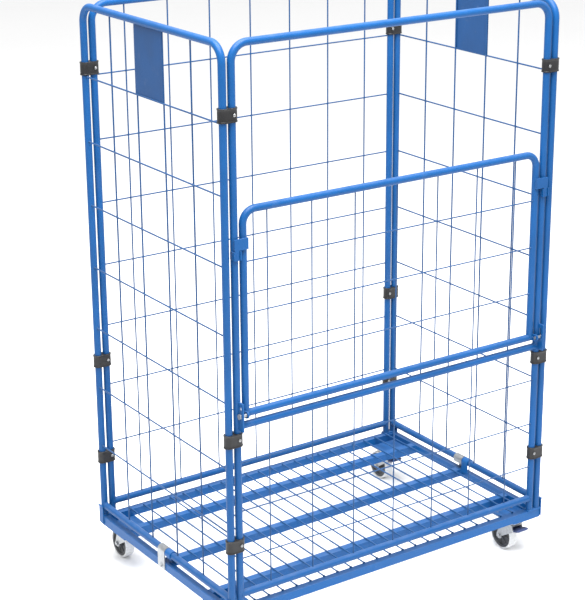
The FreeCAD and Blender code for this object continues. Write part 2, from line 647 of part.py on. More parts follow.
def gate_parts():
    """Hoop, bottom rail with its two lugs, and mesh of the gate, closed between the posts."""
    point = end_plane(-1)
    hoop = hoop_solid(point, GATE_X, GATE_RAIL_Z, GATE_TOP_Z, GATE_BEND)
    rail_half = GATE_X + TUBE_RADIUS - HINGE_LUG_THICKNESS
    saddle = straight_solid(point, GATE_X + TUBE_RADIUS, GATE_RAIL_Z)
    lugs = [hinge_lug(side) for side in LEFT_RIGHT.values()]
    mesh = wire_mesh(point, FRONT_WIRE_RADIUS, GATE_X, GATE_RAIL_Z, GATE_TOP_Z,
                     centred(END_UPRIGHTS, UPRIGHT_PITCH),
                     stepped(GATE_FIRST_LEVEL_Z, GATE_LEVELS, FRONT_LEVEL_PITCH), hoop.fuse(saddle))
    tube = hoop_tube(point, GATE_X, GATE_RAIL_Z, GATE_TOP_Z, GATE_BEND)
    return {
        "gate_hoop": tube.cut(saddle).cut(Part.makeCompound(lugs)),
        "gate_bottom_rail": fuse([straight_tube(point, rail_half, GATE_RAIL_Z)] + lugs),
        "gate_mesh": mesh,
    }


def hinge_pins():
    """Headed pins from outside the slotted plates into the gate's lugs."""
    pins = []
    for side in LEFT_RIGHT.values():
        tail = side * (GATE_X + TUBE_RADIUS - HINGE_LUG_THICKNESS - HINGE_PIN_TAIL)
        neck = side * (POST_X + HINGE_PLATE_THICKNESS / 2 + HINGE_PIN_END_PLAY)
        crown = neck + side * HINGE_PIN_HEAD_HEIGHT
        pins.append(fuse([
            rod(V(tail, PIN_Y, HINGE_PIN_Z), V(neck, PIN_Y, HINGE_PIN_Z), HINGE_PIN_RADIUS),
            rod(V(neck, PIN_Y, HINGE_PIN_Z), V(crown, PIN_Y, HINGE_PIN_Z), HINGE_PIN_HEAD_RADIUS),
        ]))
    return Part.makeCompound(pins)


def latch_hooks():
    """Flat plates on the gate's tubes that reach across the posts, each with a tongue downward."""
    hooks = []
    back_y = POST_FRONT_Y - LATCH_GAP
    front_y = back_y - LATCH_THICKNESS
    for side in LEFT_RIGHT.values():
        inner_x = side * (GATE_X - LATCH_FOOT_WIDTH / 2)
        leg = rod(V(side * GATE_X, -END_Y, GATE_RAIL_Z), V(side * GATE_X, -END_Y, GATE_TOP_Z), TUBE_RADIUS)
        plate = box(inner_x, side * (POST_X + LATCH_OVERLAP), front_y, back_y, LATCH_BOTTOM_Z, LATCH_TOP_Z)
        foot = box(inner_x, inner_x + side * LATCH_FOOT_WIDTH, back_y, -END_Y, LATCH_BOTTOM_Z, LATCH_TOP_Z)
        tongue = box(side * POST_X - TONGUE_WIDTH / 2, side * POST_X + TONGUE_WIDTH / 2, front_y, back_y,
                     TONGUE_TIP_Z, LATCH_TOP_Z)
        hooks.append(fuse([plate, foot.cut(leg), tongue]))
    return Part.makeCompound(hooks)


# ---------------------------------------------------------------- castors, about their own swivel axis


def castor_top_plate():
    """Flat plate with the upper ball race under it."""
    plate = box(-TOP_PLATE_X / 2, TOP_PLATE_X / 2, -TOP_PLATE_Y / 2, TOP_PLATE_Y / 2,
                TOP_PLATE_BOTTOM_Z, MOUNT_PLATE_BOTTOM_Z)
    race = rod(V(0, 0, TOP_PLATE_BOTTOM_Z - UPPER_RACE_HEIGHT), V(0, 0, TOP_PLATE_BOTTOM_Z),
               UPPER_RACE_RADIUS)
    shape = fuse([plate, race])
    shape = shape.cut(rod(V(0, 0, 0), V(0, 0, RAIL_BOTTOM_Z), KINGPIN_RADIUS))
    for i in (-1, 1):
        for j in (-1, 1):
            foot = V(i * CASTOR_BOLT_X, j * CASTOR_BOLT_Y, 0)
            shape = shape.cut(rod(foot, foot + V(0, 0, RAIL_BOTTOM_Z), BOLT_RADIUS + BOLT_FIT))
    return shape


def kingpin():
    """Pin that carries the fork: fixed in the top plate, headed under the crown."""
    head_top = CROWN_BOTTOM_Z - RACE_GAP
    return fuse([
        rod(V(0, 0, head_top - KINGPIN_HEAD_HEIGHT), V(0, 0, head_top), KINGPIN_HEAD_RADIUS),
        rod(V(0, 0, head_top), V(0, 0, MOUNT_PLATE_BOTTOM_Z), KINGPIN_RADIUS),
    ])


def castor_bolts():
    """Bolts up through the castors' top plates into the mount plates."""
    bolts = []
    for across, along in CORNERS.values():
        for place in castor_bolt_places(across, along):
            neck = place + V(0, 0, TOP_PLATE_BOTTOM_Z)
            head = hex_bar(neck - V(0, 0, BOLT_HEAD_HEIGHT), neck, BOLT_HEAD_RADIUS)
            shank = rod(neck, place + V(0, 0, RAIL_BOTTOM_Z), BOLT_RADIUS)
            bolts.append(fuse([head, shank]))
    return Part.makeCompound(bolts)


def fork_leg(side):
    """One cheek of the fork, from the crown down and back to the axle."""
    inner = side * FORK_INNER_HALF
    outer = side * FORK_OUTER_HALF
    cheek = profile_yz([
        (FORK_FRONT, CROWN_TOP_Z), (FORK_REAR, CROWN_TOP_Z),
        (CASTOR_TRAIL + AXLE_EYE_RADIUS, WHEEL_RADIUS), (CASTOR_TRAIL, WHEEL_RADIUS - AXLE_EYE_RADIUS),
        (CASTOR_TRAIL - AXLE_EYE_RADIUS, WHEEL_RADIUS), (FORK_FRONT, PIVOT_Z - PEDAL_SLEEVE_RADIUS),
    ], inner, outer)
    near = V(inner, CASTOR_TRAIL, WHEEL_RADIUS)
    far = V(outer, CASTOR_TRAIL, WHEEL_RADIUS)
    return cheek.fuse(rod(near, far, AXLE_EYE_RADIUS)).cut(rod(near, far, AXLE_RADIUS + AXLE_FIT))


def on_pivot(half_width, radius):
    """Round bar about the brake pedal's pivot."""
    return rod(V(-half_width, PIVOT_Y, PIVOT_Z), V(half_width, PIVOT_Y, PIVOT_Z), radius)


def fork(braked):
    """Crown, lower race housing and two cheeks; a braked fork also carries the pedal's pivot rod."""
    crown = box(-FORK_OUTER_HALF, FORK_OUTER_HALF, FORK_FRONT, FORK_REAR, CROWN_BOTTOM_Z, CROWN_TOP_Z)
    housing_top = TOP_PLATE_BOTTOM_Z - UPPER_RACE_HEIGHT - RACE_GAP
    housing = rod(V(0, 0, CROWN_BOTTOM_Z), V(0, 0, housing_top), RACE_RADIUS)
    pieces = [crown, housing, fork_leg(-1), fork_leg(1)]
    if braked:
        pieces.append(on_pivot(FORK_OUTER_HALF, PIVOT_RADIUS))
    return fuse(pieces).cut(rod(V(0, 0, CROWN_BOTTOM_Z), V(0, 0, housing_top), KINGPIN_RADIUS + KINGPIN_FIT))


def axle():
    """Axle bolt with its head on the left cheek and its nut on the right one."""
    return fuse([
        rod(V(-FORK_OUTER_HALF, 0, 0), V(FORK_OUTER_HALF, 0, 0), AXLE_RADIUS),
        hex_bar(V(-FORK_OUTER_HALF - AXLE_HEAD_HEIGHT, 0, 0), V(-FORK_OUTER_HALF, 0, 0), AXLE_HEAD_RADIUS),
        hex_bar(V(FORK_OUTER_HALF, 0, 0), V(FORK_OUTER_HALF + AXLE_HEAD_HEIGHT, 0, 0), AXLE_HEAD_RADIUS),
    ])


def on_axle(half_width, radius):
    """Disc about the wheel's own axis."""
    return rod(V(-half_width, 0, 0), V(half_width, 0, 0), radius)


def tyre():
    """Rounded tread ring."""
    ring = on_axle(WHEEL_WIDTH / 2, WHEEL_RADIUS)
    rims = [edge for edge in ring.Edges if edge.BoundBox.XLength < TREAD_ROUNDING]
    return ring.makeFillet(TREAD_ROUNDING, rims).cut(on_axle(WHEEL_WIDTH / 2, RIM_RADIUS))


def hub():
    """Rim disc with a recess in each face round the boss, bored for the axle."""
    rim = on_axle(RIM_WIDTH / 2, RIM_RADIUS)
    face = RIM_WIDTH / 2
    for side in LEFT_RIGHT.values():
        near = V(side * (face - RIM_RECESS_DEPTH), 0, 0)
        far = V(side * face, 0, 0)
        rim = rim.cut(rod(near, far, RIM_RECESS_OUTER).cut(rod(near, far, RIM_RECESS_INNER)))
    body = fuse([rim, on_axle(BOSS_WIDTH / 2, BOSS_RADIUS)])
    return body.cut(on_axle(BOSS_WIDTH / 2, AXLE_RADIUS + AXLE_FIT))


def shoe_centre():
    """Where the brake shoe's middle is with the pedal up, as (y, z) from the swivel axis."""
    reach = WHEEL_RADIUS + SHOE_RADIUS + SHOE_CLEARANCE
    round_wheel = math.radians(SHOE_ROUND_WHEEL_DEG)
    pressed_y = CASTOR_TRAIL + reach * math.cos(round_wheel) - PIVOT_Y
    pressed_z = WHEEL_RADIUS + reach * math.sin(round_wheel) - PIVOT_Z
    back = math.radians(-PEDAL_TRAVEL_DEG)
    return (PIVOT_Y + pressed_y * math.cos(back) - pressed_z * math.sin(back),
            PIVOT_Z + pressed_y * math.sin(back) + pressed_z * math.cos(back))


def brake_pedal():
    """Pedal on its sleeve, with the shoe that presses on the tread when the pedal goes down."""
    shoe_y, shoe_z = shoe_centre()
    half = PEDAL_THICKNESS / 2
    pieces = [
        on_pivot(PEDAL_SLEEVE_HALF, PEDAL_SLEEVE_RADIUS),
        profile_yz([(PIVOT_Y, PIVOT_Z + half), (PEDAL_KNEE_Y, PEDAL_KNEE_Z + half),
                    (PEDAL_KNEE_Y, PEDAL_KNEE_Z - half), (PIVOT_Y, PIVOT_Z - half)],
                   -PEDAL_ARM_HALF, PEDAL_ARM_HALF),
        profile_yz([(PEDAL_KNEE_Y, PEDAL_KNEE_Z + half), (PEDAL_TIP_Y, PEDAL_TIP_Z + half),
                    (PEDAL_TIP_Y, PEDAL_TIP_Z - half), (PEDAL_KNEE_Y, PEDAL_KNEE_Z - half)],
                   -PEDAL_PAD_HALF, PEDAL_PAD_HALF),
        profile_yz([(PIVOT_Y - SHOE_RADIUS, PIVOT_Z), (PIVOT_Y + SHOE_RADIUS, PIVOT_Z),
                    (shoe_y + SHOE_RADIUS, shoe_z), (shoe_y - SHOE_RADIUS, shoe_z)],
                   -PEDAL_ARM_HALF, PEDAL_ARM_HALF),
        rod(V(-PEDAL_ARM_HALF, shoe_y, shoe_z), V(PEDAL_ARM_HALF, shoe_y, shoe_z), SHOE_RADIUS),
    ]
    return fuse(pieces).cut(on_pivot(PEDAL_SLEEVE_HALF, PIVOT_RADIUS + PIVOT_FIT))


# ---------------------------------------------------------------- assembly


def at_swivel(shape, across, along):
    """Copy of a castor piece moved to one corner's swivel axis."""
    copy = shape.copy()
    copy.translate(V(across * SWIVEL_X, along * SWIVEL_Y, 0))
    return copy


def at_axle(shape, across, along):
    """Copy of a wheel piece moved to one corner's axle, which trails toward the rear."""
    copy = shape.copy()
    copy.translate(V(across * SWIVEL_X, along * SWIVEL_Y + CASTOR_TRAIL, WHEEL_RADIUS))
    return copy


def base_nodes():
    return {
        "base_front_rail": end_rail(-1),
        "base_rear_rail": end_rail(1),
        "base_left_rail": side_rail(-1),
        "base_right_rail": side_rail(1),
        "base_cross_beams": cross_beams(),
        "deck_wires": deck_wires(),
        "castor_mount_plates": mount_plates(),
        "corner_sockets": corner_sockets(),
        "holddown_straps": holddown_straps(),
        "holddown_saddles": holddown_saddles(),
        "holddown_bolts": holddown_bolts(),
    }


def panel_nodes():
    nodes = {}
    for name, side in LEFT_RIGHT.items():
        nodes.update({f"{name}_panel_{piece}": shape for piece, shape in side_panel(side).items()})
    nodes.update({f"back_panel_{piece}": shape for piece, shape in back_panel().items()})
    nodes.update({f"front_panel_{piece}": shape for piece, shape in front_panel().items()})
    nodes["gate_hinge_plates"] = hinge_plates()
    nodes["gate_keepers"] = gate_keepers()
    for name, (across, along) in CORNERS.items():
        nodes[f"{name}_clips"] = corner_clips(across, along)
    nodes["clip_rivets"] = clip_rivets()
    return nodes


def gate_nodes():
    nodes = gate_parts()
    nodes["gate_hinge_pins"] = hinge_pins()
    nodes["gate_latch_hooks"] = latch_hooks()
    return nodes


def castor_nodes():
    nodes = {
        "castor_top_plates": Part.makeCompound([at_swivel(castor_top_plate(), *c) for c in CORNERS.values()]),
        "castor_kingpins": Part.makeCompound([at_swivel(kingpin(), *c) for c in CORNERS.values()]),
        "castor_bolts": castor_bolts(),
    }
    for name, corner in CORNERS.items():
        braked = corner[0] == LEFT_RIGHT["right"]
        nodes[f"{name}_fork"] = at_swivel(fork(braked), *corner)
        nodes[f"{name}_axle"] = at_axle(axle(), *corner)
        nodes[f"{name}_tyre"] = at_axle(tyre(), *corner)
        nodes[f"{name}_hub"] = at_axle(hub(), *corner)
        if braked:
            nodes[f"{name}_brake_pedal"] = at_swivel(brake_pedal(), *corner)
    return nodes


def main():
    os.makedirs("parts", exist_ok=True)
    nodes = {**base_nodes(), **panel_nodes(), **gate_nodes(), **castor_nodes()}
    for name, shape in nodes.items():
        shape.translate(V(0, PLAN_SHIFT_Y, 0))
        shape.exportStep(f"parts/{name}.step")
        solids = len(shape.Solids)
        print(f"{name}: {solids} solid(s), volume {shape.Volume:.0f} mm3, valid {shape.isValid()}")


main()
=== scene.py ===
"""Roll cage container: finishes, welds, moulded clips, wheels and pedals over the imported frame.

Lengths are in metres in the frame's own axes: +Z up, front toward -Y, floor at z = 0.
"""

import json
import math

import bpy
import numpy as np
from bpy.props import FloatProperty, FloatVectorProperty, IntProperty, PointerProperty
from mathutils import Matrix, Vector


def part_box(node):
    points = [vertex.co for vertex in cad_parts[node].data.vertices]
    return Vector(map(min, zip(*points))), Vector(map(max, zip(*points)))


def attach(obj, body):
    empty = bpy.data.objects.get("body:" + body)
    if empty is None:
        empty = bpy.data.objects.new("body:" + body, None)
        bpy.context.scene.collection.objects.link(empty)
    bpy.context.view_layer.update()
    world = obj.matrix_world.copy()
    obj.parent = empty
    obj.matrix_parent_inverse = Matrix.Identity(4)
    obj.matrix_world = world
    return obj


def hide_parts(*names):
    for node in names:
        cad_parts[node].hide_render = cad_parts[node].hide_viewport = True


bl_info = {
    "name": "Roll Cage Container",
    "version": (1, 0, 0),
    "blender": (4, 5, 0),
    "location": "View3D > Sidebar > Roll Cage",
    "description": "Finishes and fine pieces of a wire-mesh roll cage container",
    "category": "Object",
}

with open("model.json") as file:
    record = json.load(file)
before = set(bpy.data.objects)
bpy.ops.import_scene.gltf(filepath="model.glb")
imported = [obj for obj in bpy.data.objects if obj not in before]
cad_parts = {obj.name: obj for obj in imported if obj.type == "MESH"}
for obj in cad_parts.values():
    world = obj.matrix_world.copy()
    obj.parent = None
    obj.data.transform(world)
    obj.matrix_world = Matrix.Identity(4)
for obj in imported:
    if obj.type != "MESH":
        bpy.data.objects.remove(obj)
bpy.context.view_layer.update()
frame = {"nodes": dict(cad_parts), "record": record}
NODES = frame["nodes"]
BODY_OF = {node: body for body, nodes in frame["record"]["behaviour"]["bodies"].items() for node in nodes}
CORNERS = {"front_left": (-1, -1), "front_right": (1, -1), "rear_left": (-1, 1), "rear_right": (1, 1)}
BRAKED = ("front_right", "rear_right")
SIDES = (-1, 1)

# Which CAD nodes wear which finish
TUBE_NODES = [
    "left_panel_hoop", "left_panel_bottom_tube", "right_panel_hoop", "right_panel_bottom_tube",
    "back_panel_hoop", "back_panel_bottom_tube", "front_panel_hoop", "front_panel_bottom_tube",
    "front_panel_crossbar", "gate_hoop", "gate_bottom_rail", "gate_hinge_plates", "gate_keepers",
    "gate_latch_hooks",
]
BASE_NODES = [
    "base_front_rail", "base_rear_rail", "base_left_rail", "base_right_rail", "base_cross_beams",
    "castor_mount_plates", "corner_sockets", "holddown_saddles",
]
WIRE_NODES = ["left_panel_mesh", "right_panel_mesh", "back_panel_mesh", "front_panel_mesh", "gate_mesh"]
LABEL_NODES = ["left_panel_label_plate", "right_panel_label_plate"]
ZINC_NODES = [
    "holddown_straps", "holddown_bolts", "gate_hinge_pins", "castor_top_plates", "castor_kingpins",
    "castor_bolts",
] + [f"{corner}_{part}" for corner in CORNERS for part in ("fork", "axle")]

# Each welded mesh: the axis across its plane, wire radius, uprights, and its level wires' heights
MESHES = {
    "left_panel_mesh": ("x", 0.0025, 4, 0.4075, 0.2, 7),
    "right_panel_mesh": ("x", 0.0025, 4, 0.4075, 0.2, 7),
    "back_panel_mesh": ("y", 0.00225, 7, 0.4075, 0.2, 7),
    "front_panel_mesh": ("y", 0.002, 7, 0.319, 0.15, 3),
    "gate_mesh": ("y", 0.002, 7, 0.915, 0.15, 3),
}
UPRIGHT_PITCH = 0.15
DECK_WIRES = 23
DECK_WIRE_PITCH = 0.05
DECK_WIRE_RADIUS = 0.0025
TUBE_RADIUS = 0.011
SEAT_MARGIN = 0.0015
RIM_RADIUS = 0.0444
WEB_INNER, WEB_OUTER = 0.0148, 0.0352
CLIP_LEVELS = (0.367, 0.696, 1.631)


# ---------------------------------------------------------------- settings


def colour(name, description, default):
    return FloatVectorProperty(name=name, description=description, default=default, size=3, min=0.0, max=1.0,
                               subtype="COLOR")


def length(name, description, default):
    return FloatProperty(name=name, description=description, default=default, min=0.0, unit="LENGTH",
                         precision=4)


def share(name, description, default):
    return FloatProperty(name=name, description=description, default=default, min=0.0, max=1.0,
                         subtype="FACTOR")


class CagePaintSettings(bpy.types.PropertyGroup):
    tube: colour("Tubes", "Powder coat on the tubes and the gate", (0.003, 0.063, 0.208))
    # Painted about a quarter lighter than the tube coat: painted light standing in for the light from above
    # on the base's upward faces.
    base: colour("Base", "Powder coat on the base rails and corner sockets", (0.002, 0.078, 0.260))
    wire: colour("Wires", "Powder coat on the welded meshes", (0.010, 0.052, 0.150))
    deck: colour("Deck wires", "Powder coat on the wires of the deck", (0.003, 0.062, 0.196))
    # Painted about a quarter darker than the tube coat: painted shade for the flat upright faces of the
    # plates.
    label: colour("Label plates", "Matte paint on the two label plates", (0.005, 0.046, 0.148))
    roughness: share("Roughness", "How dull the powder coat is", 0.36)
    dust: share("Dust", "How much pale dust lies on faces that look up", 0.07)
    scuffs: share("Scuffs", "How strongly rubbed places show", 0.20)


class CageMetalSettings(bpy.types.PropertyGroup):
    zinc: colour("Zinc", "Plated straps, forks and bolts", (0.400, 0.415, 0.430))
    rivet: colour("Rivets", "Rivets in the clips", (0.300, 0.305, 0.310))
    spangle: length("Spangle", "Size of the crystals in the zinc", 0.006)


class CagePlasticSettings(bpy.types.PropertyGroup):
    clip: colour("Clips", "Moulded corner clips", (0.003, 0.003, 0.004))
    tread: colour("Tread", "Rubber tread of the wheels", (0.640, 0.650, 0.660))
    hub: colour("Hub", "Moulded wheel hubs", (0.030, 0.033, 0.038))
    pedal: colour("Pedals", "Brake pedals", (0.016, 0.032, 0.110))


class CageDetailSettings(bpy.types.PropertyGroup):
    bead: length("Weld bead", "Radius of the beads round the tube joints", 0.0015)
    run: length("Weld run", "Radius of the straight weld runs", 0.0017)
    collar: length("Wire fillet", "How far the weld stands out round a wire's end", 0.0012)
    clip_rim: length("Clip rim", "How far the clips' rims stand out", 0.0008)
    clip_edge: length("Clip edge", "Rounding of the clips' edges", 0.0007)
    hub_ribs: IntProperty(name="Hub ribs", description="Ribs in each face of a wheel hub", default=8, min=3)
    pedal_ribs: IntProperty(name="Pedal ribs", description="Grip ribs across a brake pedal", default=5, min=1)


class CageStageSettings(bpy.types.PropertyGroup):
    floor: colour("Floor", "Colour of the floor", (0.900, 0.900, 0.900))
    key: FloatProperty(name="Key lamp", description="Power of the large lamp overhead", default=700.0,
                       min=0.0, unit="POWER")
    fill: FloatProperty(name="Fill lamp", description="Power of the lamp on the right", default=40.0,
                        min=0.0, unit="POWER")
    sky: FloatProperty(name="Surround", description="Strength of the even light all round", default=0.95,
                       min=0.0)
    lens: FloatProperty(name="Lens", description="Focal length on a 36 mm wide sensor", default=106.58,
                        min=1.0, unit="CAMERA")


class CageSettings(bpy.types.PropertyGroup):
    paint: PointerProperty(type=CagePaintSettings)
    metal: PointerProperty(type=CageMetalSettings)
    plastic: PointerProperty(type=CagePlasticSettings)
    detail: PointerProperty(type=CageDetailSettings)
    stage: PointerProperty(type=CageStageSettings)


def settings():
    return bpy.context.scene.roll_cage


# ---------------------------------------------------------------- finishes


class Signal:
    """A value that changes over a surface; sums on it add Math nodes to its finish."""

    def __init__(self, finish, socket):
        self.finish = finish
        self.socket = socket

    def maths(self, operation, first, second):
        return self.finish.node("ShaderNodeMath", {"operation": operation}, {0: first, 1: second})

    def __add__(self, other):
        return self.maths("ADD", self, other)

    def __radd__(self, other):
        return self.maths("ADD", other, self)

    def __sub__(self, other):
        return self.maths("SUBTRACT", self, other)

    def __rsub__(self, other):
        return self.maths("SUBTRACT", other, self)

    def __mul__(self, other):
        return self.maths("MULTIPLY", self, other)

    def __rmul__(self, other):
        return self.maths("MULTIPLY", other, self)

    def __pow__(self, other):
        return self.maths("POWER", self, other)


class Finish:
    """A node material with one surface shader; constants go straight on the shader's sockets."""

    def __init__(self, name, constants):
        self.material = bpy.data.materials.new(name)
        self.material.use_nodes = True
        self.tree = self.material.node_tree
        self.tree.nodes.clear()
        self.shader = self.tree.nodes.new("ShaderNodeBsdfPrincipled")
        output = self.tree.nodes.new("ShaderNodeOutputMaterial")
        self.tree.links.new(self.shader.outputs[0], output.inputs["Surface"])
        for socket, value in constants.items():
            self.shader.inputs[socket].default_value = value
        self.place = self.node("ShaderNodeTexCoord", output="Object")

    def node(self, kind, choices=None, inputs=None, output=0):
        """Adds one node: its settings first, then its sockets' values or links."""
        new = self.tree.nodes.new(kind)
        for name, value in (choices or {}).items():
            setattr(new, name, value)
        for socket, value in (inputs or {}).items():
            self.feed(new, socket, value)
        return Signal(self, new.outputs[output])

    def feed(self, node, socket, value):
        if isinstance(value, Signal):
            self.tree.links.new(value.socket, node.inputs[socket])
        else:
            node.inputs[socket].default_value = value

    def wear(self, **inputs):
        """Links what changes over the surface to the shader, and returns the material."""
        for socket, value in inputs.items():
            self.feed(self.shader, socket.replace("_", " "), value)
        return self.material

    def stretched(self, x, y, z):
        """The surface's place with each axis scaled, for grain that runs one way."""
        return self.node("ShaderNodeMapping", {"vector_type": "TEXTURE"},
                         {"Vector": self.place, "Scale": (1.0 / x, 1.0 / y, 1.0 / z)})

    def noise(self, size, detail=3.0, place=None):
        """Soft noise whose lumps are about size across, from 0 to 1."""
        return self.node("ShaderNodeTexNoise", {"noise_dimensions": "3D"},
                         {"Vector": place or self.place, "Scale": 1.0 / size, "Detail": detail})

    def cells(self, size):
        """A random shade for each crystal about size across."""
        shades = self.node("ShaderNodeTexVoronoi", {"feature": "F1"},
                           {"Vector": self.place, "Scale": 1.0 / size}, "Color")
        return self.node("ShaderNodeSeparateColor", {}, {"Color": shades})

    def ramp(self, value, low, high, bottom=0.0, top=1.0):
        """Takes low..high smoothly to bottom..top, and holds it there outside."""
        return self.node("ShaderNodeMapRange", {"interpolation_type": "SMOOTHSTEP"},
                         {"Value": value, "From Min": low, "From Max": high, "To Min": bottom, "To Max": top})

    def blend(self, factor, first, second):
        """Mixes two colours."""
        return self.node("ShaderNodeMix", {"data_type": "RGBA"}, {0: factor, 6: first, 7: second}, 2)

    def relief(self, height, distance, strength=1.0, under=None):
        """Bump of a height from 0 to 1 over the given distance."""
        inputs = {"Height": height, "Distance": distance, "Strength": strength}
        if under:
            inputs["Normal"] = under
        return self.node("ShaderNodeBump", {}, inputs)

    def facing_up(self):
        """1 on faces that look up, 0 on walls."""
        normal = self.node("ShaderNodeNewGeometry", output="Normal")
        upright = self.node("ShaderNodeSeparateXYZ", {}, {"Vector": normal}, "Z")
        return self.ramp(upright, 0.45, 0.95)

    def height(self):
        return self.node("ShaderNodeSeparateXYZ", {}, {"Vector": self.place}, "Z")


def shade(base, factor, lift=0.0):
    """A colour made lighter or darker, with grey lifted into it."""
    return tuple(min(1.0, part * factor + lift) for part in base) + (1.0,)


def powder_coat(name, base, peel):
    """Sprayed and baked paint: fine orange peel, soft clouding, pale dust on top and rubbed spots."""
    paint = settings().paint
    finish = Finish(name, {"Coat Weight": 0.08, "Coat Roughness": 0.2, "Specular IOR Level": 0.16})
    cloud = finish.noise(0.16, 4.0)
    speck = finish.noise(0.0035, 2.0)
    skin = finish.blend(finish.ramp(cloud, 0.3, 0.7), shade(base, 0.90), shade(base, 1.08))
    skin = finish.blend(finish.ramp(speck, 0.35, 0.75, 0.0, 0.35), skin, shade(base, 1.12, 0.01))
    patches = finish.ramp(finish.noise(0.045, 5.0, finish.stretched(1.0, 1.0, 0.35)), 0.60, 0.72)
    fine = finish.ramp(finish.noise(0.0022, 2.0), 0.45, 0.6)
    rubbed = patches * fine * paint.scuffs
    skin = finish.blend(rubbed, skin, shade(base, 0.75, 0.10))
    dust = finish.facing_up() * finish.ramp(finish.noise(0.03, 4.0), 0.3, 0.7, 0.4, 1.0) * paint.dust
    skin = finish.blend(dust, skin, (0.45, 0.47, 0.50, 1.0))
    # Darker and duller towards the floor, in patches of the clouding: full below 0.13 m, fading out by 0.35
    # m.
    low_darkening = finish.ramp(finish.height(), 0.13, 0.35, 1.0, 0.0) * finish.ramp(cloud, 0.4, 0.6) * 0.16
    skin = finish.blend(low_darkening, skin, (0.05, 0.055, 0.06, 1.0))
    orange_peel = finish.relief(finish.noise(peel, 1.5), 0.00012, 0.55)
    chips = finish.relief(1.0 - rubbed, 0.00008, 0.6, orange_peel)
    dull = paint.roughness + 0.10 * cloud + 0.5 * rubbed + 0.6 * dust + 0.3 * low_darkening
    return finish.wear(Base_Color=skin, Roughness=dull, Normal=chips)


def matte_paint(name, base):
    """Flat plate paint: dull, faintly brushed along its length, with soft hand marks."""
    finish = Finish(name, {"Specular IOR Level": 0.30})
    cloud = finish.noise(0.07, 4.0)
    strokes = finish.noise(0.004, 3.0, finish.stretched(1.0, 1.0, 0.08))
    skin = finish.blend(finish.ramp(cloud, 0.3, 0.7), shade(base, 0.93), shade(base, 1.06))
    skin = finish.blend(finish.ramp(strokes, 0.4, 0.8, 0.0, 0.25), skin, shade(base, 1.15, 0.01))
    marks = finish.ramp(finish.noise(0.02, 5.0), 0.62, 0.74, 0.0, 0.25)
    skin = finish.blend(marks, skin, shade(base, 0.8, 0.06))
    grain = finish.relief(finish.noise(0.0014, 2.0), 0.00008, 0.5)
    return finish.wear(Base_Color=skin, Roughness=0.52 + 0.12 * cloud + 0.25 * marks, Normal=grain)


def plated_zinc(name, base):
    """Zinc plate: crystal spangle, cloudy dulling and faint drawn streaks."""
    spangle = settings().metal.spangle
    finish = Finish(name, {"Metallic": 1.0, "Specular IOR Level": 0.5})
    crystals = finish.cells(spangle)
    cloud = finish.noise(0.02, 4.0)
    streaks = finish.noise(0.0015, 2.0, finish.stretched(0.12, 1.0, 1.0))
    skin = finish.blend(crystals * 0.7, shade(base, 0.82), shade(base, 1.12))
    skin = finish.blend(finish.ramp(cloud, 0.5, 0.75, 0.0, 0.4), skin, shade(base, 0.6, 0.03))
    dull = 0.30 + 0.12 * crystals + 0.15 * cloud + 0.06 * streaks
    ripple = finish.relief(streaks, 0.00005, 0.4)
    facets = finish.relief(crystals, 0.00006, 0.35, ripple)
    return finish.wear(Base_Color=skin, Roughness=dull, Normal=facets)


def bright_rivet(name, base):
    """Pressed rivet steel: grey, with tiny dimples from the setting tool."""
    finish = Finish(name, {"Metallic": 1.0})
    cloud = finish.noise(0.004, 3.0)
    skin = finish.blend(cloud, shade(base, 0.85), shade(base, 1.05))
    dimples = finish.relief(finish.noise(0.0012, 2.0), 0.00008, 0.5)
    return finish.wear(Base_Color=skin, Roughness=0.22 + 0.18 * cloud, Normal=dimples)


def moulded_plastic(name, base, dullness):
    """Moulded plastic: spark-eroded grain, flow clouds and lightly polished high spots."""
    finish = Finish(name, {"Specular IOR Level": 0.42})
    cloud = finish.noise(0.03, 4.0)
    skin = finish.blend(finish.ramp(cloud, 0.3, 0.7), shade(base, 0.85), shade(base, 1.2, 0.002))
    handled = finish.ramp(finish.noise(0.012, 5.0), 0.6, 0.75, 0.0, 0.3)
    skin = finish.blend(handled, skin, shade(base, 1.3, 0.015))
    dust = finish.facing_up() * finish.ramp(finish.noise(0.006, 4.0), 0.35, 0.7) * 0.12
    skin = finish.blend(dust, skin, (0.30, 0.31, 0.32, 1.0))
    grain = finish.relief(finish.noise(0.0009, 2.0), 0.00009, 0.6)
    return finish.wear(Base_Color=skin, Roughness=dullness + 0.12 * cloud + 0.3 * dust, Normal=grain)


def tread_rubber(name, base):
    """Pale rubber: rolled-in grit, darker smears from the floor and a fine matte skin."""
    finish = Finish(name, {"Specular IOR Level": 0.28})
    cloud = finish.noise(0.018, 4.0)
    grit = finish.ramp(finish.noise(0.0011, 2.0), 0.55, 0.72)
    smears = finish.ramp(finish.noise(0.009, 5.0, finish.stretched(0.4, 1.0, 1.0)), 0.5, 0.72, 0.0, 0.45)
    skin = finish.blend(finish.ramp(cloud, 0.3, 0.7), shade(base, 0.88), shade(base, 1.08))
    skin = finish.blend(smears, skin, shade(base, 0.45))
    skin = finish.blend(grit * 0.35, skin, shade(base, 0.35))
    matte = finish.relief(finish.noise(0.0013, 3.0), 0.00012, 0.6)
    return finish.wear(Base_Color=skin, Roughness=0.62 + 0.15 * cloud, Normal=matte)


def studio_floor(name, base):
    """Seamless floor: almost even, with the faint mottling of painted board."""
    finish = Finish(name, {"Specular IOR Level": 0.15})
    cloud = finish.noise(0.9, 3.0)
    skin = finish.blend(cloud, shade(base, 0.985), shade(base, 1.01))
    return finish.wear(Base_Color=skin, Roughness=0.75 + 0.1 * cloud)


